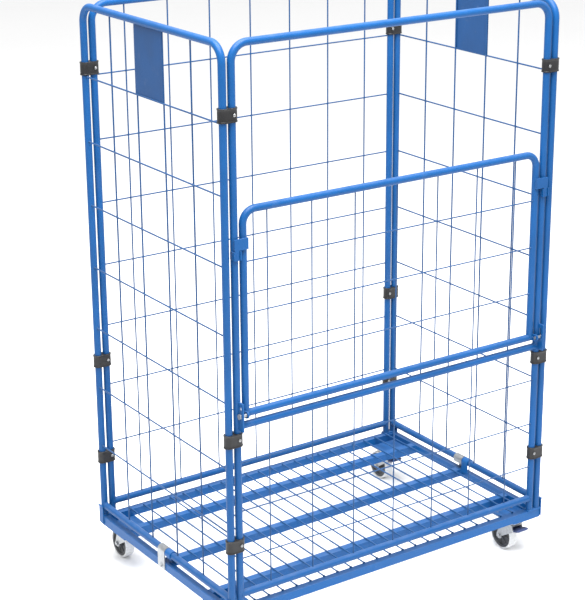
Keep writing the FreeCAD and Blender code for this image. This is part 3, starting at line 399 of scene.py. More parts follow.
FINISHES = {
    "tube_paint": lambda s: powder_coat("tube_paint", s.paint.tube, 0.0016),
    "base_paint": lambda s: powder_coat("base_paint", s.paint.base, 0.0016),
    "wire_paint": lambda s: powder_coat("wire_paint", s.paint.wire, 0.0011),
    "deck_wire_paint": lambda s: powder_coat("deck_wire_paint", s.paint.deck, 0.0011),
    "label_plate_paint": lambda s: matte_paint("label_plate_paint", s.paint.label),
    "zinc_plate": lambda s: plated_zinc("zinc_plate", s.metal.zinc),
    "rivet_steel": lambda s: bright_rivet("rivet_steel", s.metal.rivet),
    "clip_plastic": lambda s: moulded_plastic("clip_plastic", s.plastic.clip, 0.36),
    "hub_plastic": lambda s: moulded_plastic("hub_plastic", s.plastic.hub, 0.42),
    "pedal_paint": lambda s: moulded_plastic("pedal_paint", s.plastic.pedal, 0.34),
    "tread": lambda s: tread_rubber("tread", s.plastic.tread),
}


def finish_for(slot):
    """The material of one of the record's slots, made the first time it is wanted."""
    name = "finish_" + slot
    if name not in bpy.data.materials:
        material = FINISHES[slot](settings())
        material.name = name
    return bpy.data.materials[name]


def paint_nodes(nodes, slot):
    """Gives CAD nodes a finish."""
    for node in nodes:
        mesh = NODES[node].data
        mesh.materials.clear()
        mesh.materials.append(finish_for(slot))


# ---------------------------------------------------------------- surfaces


def closed_skins(points, ring_rows=False):
    """Vertices and faces of closed surfaces from grids of points (copies, rows, columns, 3).

    Columns run round a ring. Rows run along it: they close on themselves when ring_rows is true,
    and otherwise both ends are closed with one flat face. A copy whose signed volume, the sum of
    a . (b x c) over its faces, comes out negative has its faces turned over.
    """
    copies, rows, columns, _ = points.shape
    row, column = np.meshgrid(np.arange(rows if ring_rows else rows - 1), np.arange(columns), indexing="ij")
    row, column = row.ravel(), column.ravel()
    next_row, next_column = (row + 1) % rows, (column + 1) % columns
    walls = np.stack([row * columns + column, row * columns + next_column,
                      next_row * columns + next_column, next_row * columns + column], axis=1)
    flat = points.reshape(copies, rows * columns, 3)
    corner = flat[:, walls] - flat.mean(axis=1)[:, None, None]
    first, second, third, fourth = np.moveaxis(corner, 2, 0)
    volume = (np.einsum("cni,cni->c", np.cross(first, second), third)
              + np.einsum("cni,cni->c", np.cross(first, third), fourth))
    starts = np.arange(copies)[:, None, None] * rows * columns
    faces = walls[None] + starts
    faces[volume < 0] = faces[volume < 0][:, :, ::-1]
    polygons = faces.reshape(-1, 4).tolist()
    if not ring_rows:
        foot = np.arange(columns)[::-1][None] + starts[:, 0]
        crown = np.arange(columns)[None] + (rows - 1) * columns + starts[:, 0]
        foot[volume < 0] = foot[volume < 0][:, ::-1]
        crown[volume < 0] = crown[volume < 0][:, ::-1]
        polygons += foot.tolist() + crown.tolist()
    return flat.reshape(-1, 3), polygons


def new_piece(name, skins, slot, body, stands_for=(), sharp=math.radians(38)):
    """One mesh object from several (vertices, faces) pairs, finished, smoothed and riding on a body."""
    vertices = np.concatenate([vertex for vertex, _ in skins])
    polygons = []
    start = 0
    for vertex, faces in skins:
        polygons += [[corner + start for corner in face] for face in faces]
        start += len(vertex)
    mesh = bpy.data.meshes.new(name)
    mesh.from_pydata(vertices, [], polygons)
    mesh.polygons.foreach_set("use_smooth", np.ones(len(mesh.polygons), bool))
    mesh.set_sharp_from_angle(angle=sharp)
    mesh.materials.append(finish_for(slot))
    mesh.update()
    piece = bpy.data.objects.new(name, mesh)
    bpy.context.scene.collection.objects.link(piece)
    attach(piece, body)
    if stands_for:
        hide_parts(*stands_for)
    return piece


def unit(vectors):
    return vectors / np.linalg.norm(vectors, axis=-1, keepdims=True)


def lathe(profile, columns, origin, axis, across, ring_rows=False, radial=None):
    """Closed surface of turning: point = origin + axis * x + r * (cos t * across + sin t * up).

    profile holds (r, x) rows; radial adds a further (rows, columns) amount to x.
    """
    origin, axis, across = (np.asarray(part, float) for part in (origin, axis, across))
    up = np.cross(axis, across)
    turn = np.linspace(0, 2 * np.pi, columns, endpoint=False)
    spoke = np.cos(turn)[:, None] * across + np.sin(turn)[:, None] * up
    profile = np.asarray(profile, float)
    along = profile[:, 1, None] + (0 if radial is None else radial(profile, turn))
    grid = (origin + profile[:, 0, None, None] * spoke[None]
            + np.broadcast_to(along, (len(profile), columns))[..., None] * axis)
    return closed_skins(grid[None], ring_rows)


def lathed_copies(profile, columns, origins, axes):
    """The same turned shape at many places: origin + axis * x + r * (cos t * a + sin t * b)."""
    origins, axes = np.asarray(origins, float), np.asarray(axes, float)
    helper = np.where(np.abs(axes[:, 2:]) > 0.9, [[1.0, 0.0, 0.0]], [[0.0, 0.0, 1.0]])
    across = unit(np.cross(helper, axes))
    up = np.cross(axes, across)
    turn = np.linspace(0, 2 * np.pi, columns, endpoint=False)
    profile = np.asarray(profile, float)
    spoke = np.cos(turn)[:, None] * across[:, None] + np.sin(turn)[:, None] * up[:, None]
    grid = (origins[:, None, None] + profile[None, :, None, 1:] * axes[:, None, None]
            + profile[None, :, None, :1] * spoke[:, None])
    return closed_skins(grid)


def saddle_bead(middles, mains, branches, main_radius, branch_radius, bead):
    """Rippled bead round tube T-joints, one closed ring for each joint.

    With m = main x branch, its centre line is
    middle + r cos t * m + r sin t * main + sqrt(R^2 - (r cos t)^2) * branch,
    and its thickness is bead * (1 + 0.16 cos(46 t)).
    """
    middles, mains, branches = (np.asarray(part, float)[:, None] for part in (middles, mains, branches))
    sideways = np.cross(mains, branches)
    turn = np.linspace(0, 2 * np.pi, 184, endpoint=False)[None, :, None]
    reach = np.sqrt(main_radius ** 2 - (branch_radius * np.cos(turn)) ** 2 + (0.12 * branch_radius) ** 2)
    line = middles + branch_radius * (np.cos(turn) * sideways + np.sin(turn) * mains) + reach * branches
    ahead = unit(np.roll(line, -1, axis=1) - np.roll(line, 1, axis=1))
    outward = np.cos(turn) * sideways + np.sin(turn) * mains
    outward = unit(outward - (outward * ahead).sum(-1, keepdims=True) * ahead)
    other = np.cross(ahead, outward)
    thick = bead * (1 + 0.16 * np.cos(46 * turn))[..., None]
    ring = np.linspace(0, 2 * np.pi, 8, endpoint=False)[None, None, :, None]
    grid = line[:, :, None] + thick * (np.cos(ring) * outward[:, :, None] + np.sin(ring) * other[:, :, None])
    return closed_skins(grid, ring_rows=True)


def weld_runs(starts, ends, radius):
    """Straight rippled weld runs with rounded ends.

    Thickness along a run is radius * sqrt(1 - u^8) * (1 + 0.15 cos(ripples)), with u from -1 to 1.
    """
    starts, ends = np.asarray(starts, float), np.asarray(ends, float)
    along = ends - starts
    size = np.linalg.norm(along, axis=1)
    steps = int(max(24, size.max() / 0.0011))
    u = np.sin(np.linspace(-np.pi / 2, np.pi / 2, steps + 2)[1:-1])
    axes = unit(along)
    helper = np.where(np.abs(axes[:, 2:]) > 0.9, [[1.0, 0.0, 0.0]], [[0.0, 0.0, 1.0]])
    across = unit(np.cross(helper, axes))
    up = np.cross(axes, across)
    ripple = 1 + 0.15 * np.cos(size[:, None] * u[None] * (np.pi / 0.0016))
    thick = radius * np.sqrt(1 - u[None] ** 8) * ripple
    turn = np.linspace(0, 2 * np.pi, 8, endpoint=False)
    spoke = np.cos(turn)[:, None] * across[:, None] + np.sin(turn)[:, None] * up[:, None]
    line = starts[:, None] + along[:, None] * ((u[None, :, None] + 1) / 2)
    return closed_skins(line[:, :, None] + thick[:, :, None, None] * spoke[:, None])


def nuggets(places, axes, wide, flat):
    """Squashed weld drops where two wires cross: a ball of radius wide pressed to flat along its axis."""
    lift = np.linspace(-1, 1, 7)[1:-1] * 0.98
    profile = np.stack([wide * np.sqrt(1 - lift ** 2), flat * lift], axis=1)
    return lathed_copies(profile, 10, places, axes)


def collars(places, axes, wire, spread):
    """Small weld fillets round wire ends: wide at the tube, falling to the wire along the axis."""
    profile = [(wire + spread, -0.0012), (wire + spread, 0.0002), (wire + spread * 0.45, 0.0010),
               (wire + 0.00004, 0.0022)]
    return lathed_copies(profile, 10, places, axes)


def middle(node):
    low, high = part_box(node)
    return (low + high) / 2


# ---------------------------------------------------------------- places taken from the frame


def mesh_places(node):
    """Where a welded mesh's wires cross and where they end.

    Returns the crossings, the axis across the mesh, and the ends with the direction into the mesh.
    """
    across, radius, uprights, first, pitch, levels = MESHES[node]
    low, high = (np.array(corner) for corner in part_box(node))
    plane = 0 if across == "x" else 1
    along = 1 - plane
    centre = (low + high) / 2
    outside = np.sign(centre[plane])
    offset = radius - 0.00025
    columns = centre[along] + (np.arange(uprights) - (uprights - 1) / 2) * UPRIGHT_PITCH
    heights = first + np.arange(levels) * pitch
    column, height = (part.ravel() for part in np.meshgrid(columns, heights))
    crossings = np.zeros((len(column), 3))
    crossings[:, plane] = centre[plane]
    crossings[:, along] = column
    crossings[:, 2] = height
    normal = np.zeros(3)
    normal[plane] = 1.0
    ends, ways = [], []
    for limit, way in ((low[2], 1.0), (high[2], -1.0)):
        spot = np.zeros((uprights, 3))
        spot[:, plane] = centre[plane] - outside * offset
        spot[:, along] = columns
        spot[:, 2] = limit
        ends.append(spot)
        ways.append(np.tile([0.0, 0.0, way], (uprights, 1)))
    for limit, way in ((low[along], 1.0), (high[along], -1.0)):
        spot = np.zeros((levels, 3))
        spot[:, plane] = centre[plane] + outside * offset
        spot[:, along] = limit
        spot[:, 2] = heights
        direction = np.zeros(3)
        direction[along] = way
        ends.append(spot)
        ways.append(np.tile(direction, (levels, 1)))
    return crossings, normal, np.concatenate(ends), np.concatenate(ways)


def swivel_axis(corner):
    """Where the castor at a corner turns: the middle of its kingpin."""
    across, along = CORNERS[corner]
    low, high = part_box("castor_kingpins")
    reach = (high.x - low.x) / 2 - 0.010, (high.y - low.y) / 2 - 0.010
    centre = (low + high) / 2
    return np.array([centre.x + across * reach[0], centre.y + along * reach[1], 0.0])


# ---------------------------------------------------------------- operators


class CAGE_OT_finishes(bpy.types.Operator):
    """Give the rails, tubes, wires, plates and plated parts their finishes"""

    bl_idname = "cage.finishes"
    bl_label = "Finishes"

    def execute(self, context):
        for nodes, slot in ((TUBE_NODES, "tube_paint"), (BASE_NODES, "base_paint"),
                            (WIRE_NODES, "wire_paint"), (["deck_wires"], "deck_wire_paint"),
                            (LABEL_NODES, "label_plate_paint"),
                            (ZINC_NODES, "zinc_plate"), (["clip_rivets"], "rivet_steel"),
                            ([f"{corner}_brake_pedal" for corner in BRAKED], "pedal_paint")):
            paint_nodes(nodes, slot)
        return {"FINISHED"}


class CAGE_OT_tube_welds(bpy.types.Operator):
    """Lay a bead round every joint between two tubes"""

    bl_idname = "cage.tube_welds"
    bl_label = "Tube welds"

    def execute(self, context):
        bead = settings().detail.bead
        middles, branches = [], []
        for node, along in (("left_panel_bottom_tube", 1), ("right_panel_bottom_tube", 1),
                            ("back_panel_bottom_tube", 0), ("front_panel_bottom_tube", 0),
                            ("front_panel_crossbar", 0)):
            hoop_low, hoop_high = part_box("_".join(node.split("_")[:2]) + "_hoop")
            for way, edge in ((1.0, hoop_low), (-1.0, hoop_high)):
                place = np.array(middle(node))
                place[along] = edge[along] + way * TUBE_RADIUS
                direction = np.zeros(3)
                direction[along] = way
                middles.append(place)
                branches.append(direction)
        upright = np.tile([0.0, 0.0, 1.0], (len(middles), 1))
        ring = saddle_bead(middles, upright, branches, TUBE_RADIUS, TUBE_RADIUS, bead)
        new_piece("panel_tube_welds", [ring], "tube_paint", "cage")

        low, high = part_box("gate_hoop")
        rail = middle("gate_mesh")
        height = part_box("gate_mesh")[0].z - math.sqrt(TUBE_RADIUS ** 2 - 0.00175 ** 2)
        feet = [(low.x + TUBE_RADIUS, rail.y, height), (high.x - TUBE_RADIUS, rail.y, height)]
        sideways = np.tile([1.0, 0.0, 0.0], (2, 1))
        upward = np.tile([0.0, 0.0, 1.0], (2, 1))
        ring = saddle_bead(feet, sideways, upward, TUBE_RADIUS, TUBE_RADIUS, bead * 0.6)
        new_piece("gate_tube_welds", [ring], "tube_paint", "gate")
        return {"FINISHED"}


class CAGE_OT_plate_welds(bpy.types.Operator):
    """Lay the straight weld runs of the base, the hinge plates, the keepers and the latches"""

    bl_idname = "cage.plate_welds"
    bl_label = "Plate welds"

    def execute(self, context):
        run = settings().detail.run
        starts, ends = [], []
        beams_low, beams_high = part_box("base_cross_beams")
        rail_low, rail_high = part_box("base_left_rail")
        half = (beams_high.z - beams_low.z) / 2
        for side in SIDES:
            x = side * beams_high.x
            for y in (beams_low.y + half, middle("base_cross_beams").y, beams_high.y - half):
                near, far = y - half, y + half
                starts += [(x, near, beams_high.z), (x, near, beams_low.z), (x, far, beams_low.z)]
                ends += [(x, far, beams_high.z), (x, near, beams_high.z), (x, far, beams_high.z)]
        front_low, front_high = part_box("base_front_rail")
        rear_low, rear_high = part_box("base_rear_rail")
        seat_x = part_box("front_panel_hoop")[1].x - 2 * TUBE_RADIUS - SEAT_MARGIN
        inner_inset, outer_inset = 0.003, 0.001
        corner_inset = 0.002
        for x in (-seat_x, seat_x):
            for inner, outer in ((front_high.y - inner_inset, front_low.y + outer_inset),
                                 (rear_low.y + inner_inset, rear_high.y - outer_inset)):
                starts.append((x, inner, front_high.z))
                ends.append((x, outer, front_high.z))
        right_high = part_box("base_right_rail")[1]
        for y in (rail_low.y, rail_high.y):
            for x in (rail_low.x, right_high.x):
                starts.append((x, y, rail_low.z + corner_inset))
                ends.append((x, y, rail_high.z - corner_inset))
        base = weld_runs(starts, ends, run)
        new_piece("base_weld_runs", [base], "base_paint", "cage")

        starts, ends = [], []
        plates_low, plates_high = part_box("gate_hinge_plates")
        thick = 0.005
        for side in SIDES:
            for face in (plates_high.x, plates_high.x - thick):
                place = (side * face, plates_high.y - 0.0002)
                starts.append((*place, plates_low.z + 0.003))
                ends.append((*place, plates_high.z - 0.003))
        keepers_low, keepers_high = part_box("gate_keepers")
        wide = 0.024
        for side in SIDES:
            for face in (keepers_high.x, keepers_high.x - wide):
                starts.append((side * face, keepers_high.y, keepers_low.z + 0.001))
                ends.append((side * face, keepers_high.y, keepers_high.z - 0.001))
        new_piece("post_weld_runs", [weld_runs(starts, ends, run * 0.8)], "tube_paint", "cage")

        latch_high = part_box("gate_latch_hooks")[1]
        gate_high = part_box("gate_hoop")[1]
        post = gate_high.x - TUBE_RADIUS
        half_foot = 0.008
        depth = math.sqrt(TUBE_RADIUS ** 2 - half_foot ** 2) - 0.0008
        starts, ends = [], []
        for side in SIDES:
            for face in (post - half_foot, post + half_foot):
                y = middle("gate_mesh").y - depth
                starts.append((side * face, y, latch_high.z - 0.031))
                ends.append((side * face, y, latch_high.z - 0.001))
        new_piece("latch_weld_runs", [weld_runs(starts, ends, run * 0.7)], "tube_paint", "gate")
        return {"FINISHED"}


class CAGE_OT_wire_welds(bpy.types.Operator):
    """Put a weld drop at every wire crossing and a fillet round every wire end"""

    bl_idname = "cage.wire_welds"
    bl_label = "Wire welds"

    def execute(self, context):
        spread = settings().detail.collar
        for node, (_, radius, *_rest) in MESHES.items():
            crossings, normal, ends, ways = mesh_places(node)
            drops = nuggets(crossings, np.tile(normal, (len(crossings), 1)), radius * 1.35, radius * 0.75)
            fillets = collars(ends, ways, radius, spread)
            new_piece(node + "_welds", [drops, fillets], "wire_paint", BODY_OF[node])

        low, high = (np.array(corner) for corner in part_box("deck_wires"))
        beams_low, beams_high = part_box("base_cross_beams")
        half = (beams_high.z - beams_low.z) / 2
        xs = (np.arange(DECK_WIRES) - (DECK_WIRES - 1) / 2) * DECK_WIRE_PITCH
        z = (low[2] + high[2]) / 2
        ends = [np.stack([xs, np.full(DECK_WIRES, y), np.full(DECK_WIRES, z)], axis=1)
                for y in (low[1], high[1])]
        ways = [np.tile([0.0, way, 0.0], (DECK_WIRES, 1)) for way in (1.0, -1.0)]
        lap = 0.00125
        rows = (low[1] + lap, beams_low.y + half, middle("base_cross_beams").y, beams_high.y - half,
                high[1] - lap)
        spots = [np.stack([xs, np.full(DECK_WIRES, y), np.full(DECK_WIRES, low[2])], axis=1) for y in rows]
        spots = np.concatenate(spots)
        drops = nuggets(spots, np.tile([0.0, 0.0, 1.0], (len(spots), 1)), 0.0042, 0.0012)
        fillets = collars(np.concatenate(ends), np.concatenate(ways), DECK_WIRE_RADIUS, spread)
        new_piece("deck_wire_welds", [drops, fillets], "deck_wire_paint", "cage")
        return {"FINISHED"}


class CAGE_OT_clips(bpy.types.Operator):
    """Mould the corner clips round their pairs of tubes, with a boss under each rivet"""

    bl_idname = "cage.clips"
    bl_label = "Corner clips"

    def execute(self, context):
        detail = settings().detail
        rim, edge = detail.clip_rim, detail.clip_edge
        bosses = []
        for corner, (across, _) in CORNERS.items():
            low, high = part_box(corner + "_clips")
            centre = (low + high) / 2
            outer = (high.y - low.y) / 2
            pitch = (high.x - low.x) / 2 - outer
            bore = TUBE_RADIUS + 0.0001
            tall = 2 * (CLIP_LEVELS[0] - low.z)
            outline, inline = clip_outlines(pitch, outer, bore)
            shells = [clip_shell(outline, inline, (centre.x, centre.y, z), tall, rim, edge)
                      for z in CLIP_LEVELS]
            new_piece(corner + "_moulded_clips", shells, "clip_plastic", "cage", [corner + "_clips"])
            bosses += [(centre.x - across * pitch, low.y, z) for z in CLIP_LEVELS]
        profile = [(0.0078, -0.0010), (0.0076, 0.0004), (0.0070, 0.0008), (0.0060, 0.0008), (0.0054, 0.0004)]
        rings = lathed_copies(profile, 24, bosses, np.tile([0.0, -1.0, 0.0], (len(bosses), 1)))
        new_piece("rivet_bosses", [rings], "clip_plastic", "cage")
        return {"FINISHED"}


def clip_outlines(pitch, outer, bore):
    """Outer and inner outline of a clip, point for point, about the middle of its pair of tubes.

    Outer: two half circles of radius outer at x = -pitch and +pitch, joined by straight lines.
    Inner: the two tube circles of radius bore, joined by a neck; for |x| < pitch its height is
    max(neck, sqrt(bore^2 - (pitch - |x|)^2)).
    """
    neck = 0.0012
    steep = math.asin(math.sqrt(bore ** 2 - neck ** 2) / bore)
    psi = np.linspace(0, steep, 14)
    cusp_x = pitch - bore * np.sin(psi)
    cusp_y = bore * np.cos(psi)
    half_x = np.concatenate([cusp_x, -cusp_x[::-1]])
    half_y = np.concatenate([cusp_y, cusp_y[::-1]])
    bend = np.linspace(-np.pi / 2, np.pi / 2, 27)[1:-1]
    right_outer = np.stack([pitch + outer * np.cos(bend), outer * np.sin(bend)], axis=1)
    right_inner = np.stack([pitch + bore * np.cos(bend), bore * np.sin(bend)], axis=1)
    top_outer = np.stack([half_x, np.full(len(half_x), outer)], axis=1)
    top_inner = np.stack([half_x, half_y], axis=1)
    outline = np.concatenate([right_outer, top_outer, -right_outer, -top_outer])
    inline = np.concatenate([right_inner, top_inner, -right_inner, -top_inner])
    return outline, inline


def clip_shell(outline, inline, centre, tall, rim, edge):
    """Closed wall between the two outlines, with a raised rim at top and bottom.

    Each row is inline + s * (outline - inline) + e * outward, at height z.
    """
    half = tall / 2
    lower = [(0.0, 0.0, -half + edge), (0.12, 0.0, -half), (0.85, 0.0, -half),
             (0.97, rim * 0.5, -half + edge * 0.3), (1.0, rim, -half + edge), (1.0, rim, -half + 0.0034),
             (1.0, rim * 0.7, -half + 0.0040), (1.0, 0.0, -half + 0.0046), (1.0, -0.0002, -half + 0.0056),
             (1.0, -0.0001, -half * 0.3)]
    rows = np.array(lower + [(s, e, -z) for s, e, z in reversed(lower)])
    tangent = np.roll(outline, -1, axis=0) - np.roll(outline, 1, axis=0)
    outward = unit(np.stack([tangent[:, 1], -tangent[:, 0]], axis=1))
    flat = (inline[None] + rows[:, 0, None, None] * (outline - inline)[None]
            + rows[:, 1, None, None] * outward[None])
    grid = np.concatenate([flat, np.broadcast_to(rows[:, 2, None, None], flat.shape[:2] + (1,))], axis=2)
    return closed_skins((grid + np.array(centre))[None], ring_rows=True)


class CAGE_OT_wheels(bpy.types.Operator):
    """Turn the tyres and the ribbed hubs of the four castors"""

    bl_idname = "cage.wheels"
    bl_label = "Wheels"

    def execute(self, context):
        ribs = settings().detail.hub_ribs
        for corner in CORNERS:
            low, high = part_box(corner + "_tyre")
            centre = np.array((low + high) / 2)
            radius = (high.z - low.z) / 2
            half = (high.x - low.x) / 2
            tyre = lathe(tyre_profile(radius, half), 96, centre, (1, 0, 0), (0, 1, 0), ring_rows=True)
            tyre_node, hub_node = corner + "_tyre", corner + "_hub"
            new_piece(corner + "_moulded_tyre", [tyre], "tread", BODY_OF[tyre_node], [tyre_node])
            boss = (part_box(corner + "_hub")[1].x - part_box(corner + "_hub")[0].x) / 2
            hub = lathe(hub_profile(half - 0.001, boss), 96, centre, (1, 0, 0), (0, 1, 0), ring_rows=True,
                        radial=lambda profile, turn: hub_ribs(profile, turn, ribs))
            new_piece(corner + "_moulded_hub", [hub], "hub_plastic", BODY_OF[hub_node], [hub_node])
        return {"FINISHED"}


def tyre_profile(radius, half):
    """Closed (r, x) outline of the tread ring: flat crown with a seam, round shoulders, stepped wall."""
    inner = RIM_RADIUS
    shoulder = 0.004
    bend = np.linspace(0, np.pi / 2, 7)
    right = np.stack([radius - 0.0002 - shoulder + shoulder * np.cos(bend),
                      half - shoulder + shoulder * np.sin(bend)], axis=1)
    wall = np.array([(radius - 0.0047, half - 0.0004), (inner, half - 0.0012)])
    crown = np.array([(radius, 0.0002), (radius - 0.0002, 0.0007), (radius - 0.0002, half * 0.35)])
    right = np.concatenate([crown, right, wall])
    left = right[::-1] * np.array([1.0, -1.0])
    return np.concatenate([right, left])


def hub_profile(half, boss):
    """Closed (r, x) outline of the rim disc: bore, boss, sunk web and outer rim on both faces."""
    floor = half - 0.005
    right = np.array([
        (0.0041, 0.0), (0.0041, boss - 0.0004), (0.0046, boss), (0.0094, boss), (0.0100, boss - 0.0006),
        (0.0102, half + 0.0004), (0.0108, half), (0.0134, half), (0.0140, half - 0.0006),
        (0.0146, floor + 0.0006), (0.0152, floor), (0.0200, floor), (0.0250, floor), (0.0300, floor),
        (0.0348, floor), (0.0354, floor + 0.0006), (0.0360, half - 0.0006), (0.0366, half),
        (0.0430, half), (0.0440, half - 0.0009), (RIM_RADIUS - 0.0002, 0.0060),
    ])
    left = right[:0:-1] * np.array([1.0, -1.0])
    return np.concatenate([right, left])


def hub_ribs(profile, turn, count):
    """Extra x on the sunk webs: a rib stands up 3 mm where cos(count * t) is near 1."""
    ridge = 1 / (1 + np.exp(-(np.cos(count * turn) - 0.90) * 60))
    rib_height = 0.003
    inside = (profile[:, 0] > WEB_INNER) & (profile[:, 0] < WEB_OUTER)
    return inside[:, None] * np.sign(profile[:, 1])[:, None] * rib_height * ridge[None]


class CAGE_OT_castor_trim(bpy.types.Operator):
    """Add the race covers and axle washers of the castors"""

    bl_idname = "cage.castor_trim"
    bl_label = "Castor trim"

    def execute(self, context):
        for corner in CORNERS:
            axis = swivel_axis(corner)
            fork_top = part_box(corner + "_fork")[1].z
            cover = lathe([(0.0262, -0.0100), (0.0272, -0.0096), (0.0274, -0.0040), (0.0268, -0.0018),
                           (0.0252, -0.0004), (0.0240, -0.0001), (0.0238, -0.0012), (0.0250, -0.0030),
                           (0.0258, -0.0060)],
                          48, (axis[0], axis[1], fork_top), (0, 0, 1), (1, 0, 0), ring_rows=True)
            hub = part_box(corner + "_axle")
            centre = np.array((hub[0] + hub[1]) / 2)
            body = BODY_OF[corner + "_fork"]
            new_piece(corner + "_race_cover", [cover], "zinc_plate", body)
            washer = [(0.0042, -0.0002), (0.0092, -0.0002), (0.0096, 0.0003), (0.0094, 0.0010),
                      (0.0060, 0.0012), (0.0042, 0.0012)]
            places = [centre + np.array([side * 0.022, 0.0, 0.0]) for side in SIDES]
            washers = lathed_copies(washer, 28, places, [(side, 0.0, 0.0) for side in SIDES])
            new_piece(corner + "_axle_washers", [washers], "zinc_plate", body)
        return {"FINISHED"}


class CAGE_OT_pedals(bpy.types.Operator):
    """Mould a ribbed tread on each brake pedal"""

    bl_idname = "cage.pedals"
    bl_label = "Brake pedals"

    def execute(self, context):
        ribs = settings().detail.pedal_ribs
        for corner in BRAKED:
            low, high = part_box(corner + "_brake_pedal")
            axis = swivel_axis(corner)
            knee = np.array([axis[0], axis[1] - 0.032, 0.092])
            tip = np.array([axis[0], axis[1] - 0.054, 0.097])
            tread = pedal_tread(knee, tip, (high.x - low.x) / 2, ribs)
            new_piece(corner + "_pedal_tread", [tread], "pedal_paint", BODY_OF[corner + "_brake_pedal"])
        return {"FINISHED"}


def pedal_tread(knee, tip, half_width, ribs):
    """Cushioned cap over a pedal's pad, with grip ribs across its top.

    Its outline is the superellipse |x / a|^5 + |v / b|^5 = 1, scaled from 1 at the edge to 0 at the
    middle of its top and underside; its top is raised by a cosine rib along v.
    """
    along = unit(tip - knee)
    across = np.array([1.0, 0.0, 0.0])
    up = np.cross(across, -along)
    up = up * np.sign(up[2])
    centre = (knee + tip) / 2
    reach = np.linalg.norm(tip - knee) / 2 + 0.0015
    turn = np.linspace(0, 2 * np.pi, 64, endpoint=False)
    power = 2 / 5
    edge_x = np.sign(np.cos(turn)) * np.abs(np.cos(turn)) ** power * (half_width + 0.0008)
    edge_v = np.sign(np.sin(turn)) * np.abs(np.sin(turn)) ** power * reach
    rows = np.array([(0.04, 0.0046), (0.25, 0.0046), (0.45, 0.0046), (0.62, 0.0045), (0.76, 0.0044),
                     (0.87, 0.0042), (0.94, 0.0036), (0.985, 0.0026), (1.0, 0.0012), (1.0, -0.0018),
                     (0.985, -0.0026), (0.94, -0.0028), (0.6, -0.0028), (0.04, -0.0028)])
    x = rows[:, 0, None] * edge_x[None]
    v = rows[:, 0, None] * edge_v[None]
    top = np.clip(rows[:, 1, None] / 0.0046, 0, 1) * (rows[:, 0, None] < 0.93)
    ridge = top * 0.0007 * np.cos(v / reach * np.pi * ribs)
    lift = rows[:, 1, None] + ridge
    grid = centre + x[..., None] * across + v[..., None] * along + lift[..., None] * up
    return closed_skins(grid[None])


class CAGE_OT_stage(bpy.types.Operator):
    """Set the floor, the lamps, the even surround and the camera"""

    bl_idname = "cage.stage"
    bl_label = "Stage"

    def execute(self, context):
        stage = settings().stage
        scene = context.scene
        edge = 30.0
        floor_mesh = bpy.data.meshes.new("floor")
        floor_mesh.from_pydata([(-edge, -edge, 0), (edge, -edge, 0), (edge, edge, 0), (-edge, edge, 0)], [],
                               [(0, 1, 2, 3)])
        floor_mesh.materials.append(studio_floor("floor_board", stage.floor))
        floor = bpy.data.objects.new("floor", floor_mesh)
        scene.collection.objects.link(floor)

        world = bpy.data.worlds.new("studio")
        world.use_nodes = True
        world.node_tree.nodes["Background"].inputs["Color"].default_value = (1.0, 1.0, 1.0, 1.0)
        world.node_tree.nodes["Background"].inputs["Strength"].default_value = stage.sky
        scene.world = world
        add_lamp("key_lamp", (-0.8, -1.2, 5.2), (0.0, 0.0, 0.9), 4.0, stage.key)
        add_lamp("fill_lamp", (4.0, -2.0, 2.6), (0.0, 0.0, 0.8), 2.5, stage.fill)
        scene.camera = make_camera(stage.lens)
        scene.view_settings.view_transform = "Standard"
        return {"FINISHED"}


def add_lamp(name, place, target, size, power):
    """Square soft lamp turned toward a point."""
    lamp = bpy.data.lights.new(name, "AREA")
    lamp.size = size
    lamp.energy = power
    lamp_object = bpy.data.objects.new(name, lamp)
    lamp_object.location = place
    lamp_object.rotation_euler = (Vector(target) - Vector(place)).to_track_quat("-Z", "Y").to_euler()
    bpy.context.scene.collection.objects.link(lamp_object)


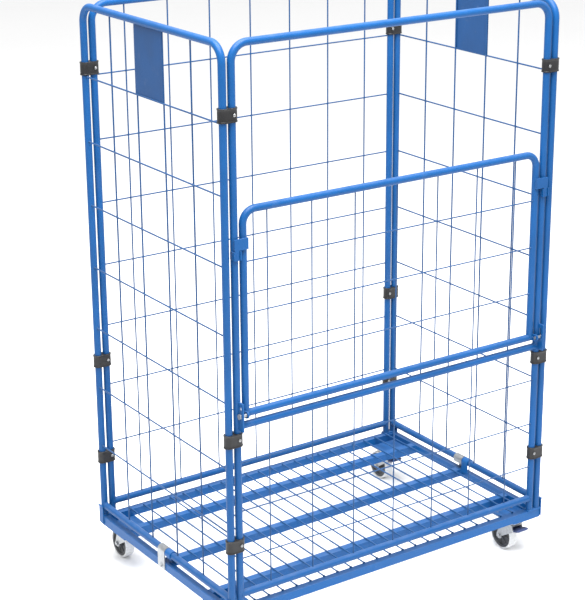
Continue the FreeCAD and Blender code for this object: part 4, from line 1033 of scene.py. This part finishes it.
def make_camera(lens):
    """Camera ahead and left of the cage, a little above it."""
    yaw, pitch, roll = 0.6070, 0.3215, -0.0034
    forward = Vector((math.sin(yaw) * math.cos(pitch), math.cos(yaw) * math.cos(pitch), -math.sin(pitch)))
    right = Vector((math.cos(yaw), -math.sin(yaw), 0.0))
    up = right.cross(forward)
    turned_right = math.cos(roll) * right + math.sin(roll) * up
    turned_up = math.cos(roll) * up - math.sin(roll) * right
    data = bpy.data.cameras.new("camera")
    data.sensor_fit = "HORIZONTAL"
    data.sensor_width = 36.0
    data.lens = lens
    data.shift_x = -0.0307
    data.shift_y = -0.0350
    camera = bpy.data.objects.new("camera", data)
    turn = Matrix((turned_right, turned_up, -forward)).transposed()
    camera.matrix_world = Matrix.Translation((-2.95056, -4.19635, 2.6649)) @ turn.to_4x4()
    bpy.context.scene.collection.objects.link(camera)
    return camera


class CAGE_PT_panel(bpy.types.Panel):
    """Lists the steps that make the cage"""

    bl_idname = "CAGE_PT_panel"
    bl_label = "Roll Cage"
    bl_space_type = "VIEW_3D"
    bl_region_type = "UI"
    bl_category = "Roll Cage"

    def draw(self, context):
        for operator in OPERATORS:
            self.layout.operator(operator.bl_idname)
        for group in ("paint", "metal", "plastic", "detail", "stage"):
            values = getattr(context.scene.roll_cage, group)
            box = self.layout.box()
            box.label(text=group.capitalize())
            for name in values.__annotations__:
                box.prop(values, name)


OPERATORS = (CAGE_OT_finishes, CAGE_OT_tube_welds, CAGE_OT_plate_welds, CAGE_OT_wire_welds, CAGE_OT_clips,
             CAGE_OT_wheels, CAGE_OT_castor_trim, CAGE_OT_pedals, CAGE_OT_stage)
CLASSES = (CagePaintSettings, CageMetalSettings, CagePlasticSettings, CageDetailSettings, CageStageSettings,
           CageSettings) + OPERATORS + (CAGE_PT_panel,)


def register():
    for part in CLASSES:
        bpy.utils.register_class(part)
    bpy.types.Scene.roll_cage = PointerProperty(type=CageSettings)


def unregister():
    del bpy.types.Scene.roll_cage
    for part in reversed(CLASSES):
        bpy.utils.unregister_class(part)


def main():
    register()
    bpy.ops.cage.finishes()
    bpy.ops.cage.tube_welds()
    bpy.ops.cage.plate_welds()
    bpy.ops.cage.wire_welds()
    bpy.ops.cage.clips()
    bpy.ops.cage.wheels()
    bpy.ops.cage.castor_trim()
    bpy.ops.cage.pedals()
    bpy.ops.cage.stage()


if __name__ == "__main__":
    main()
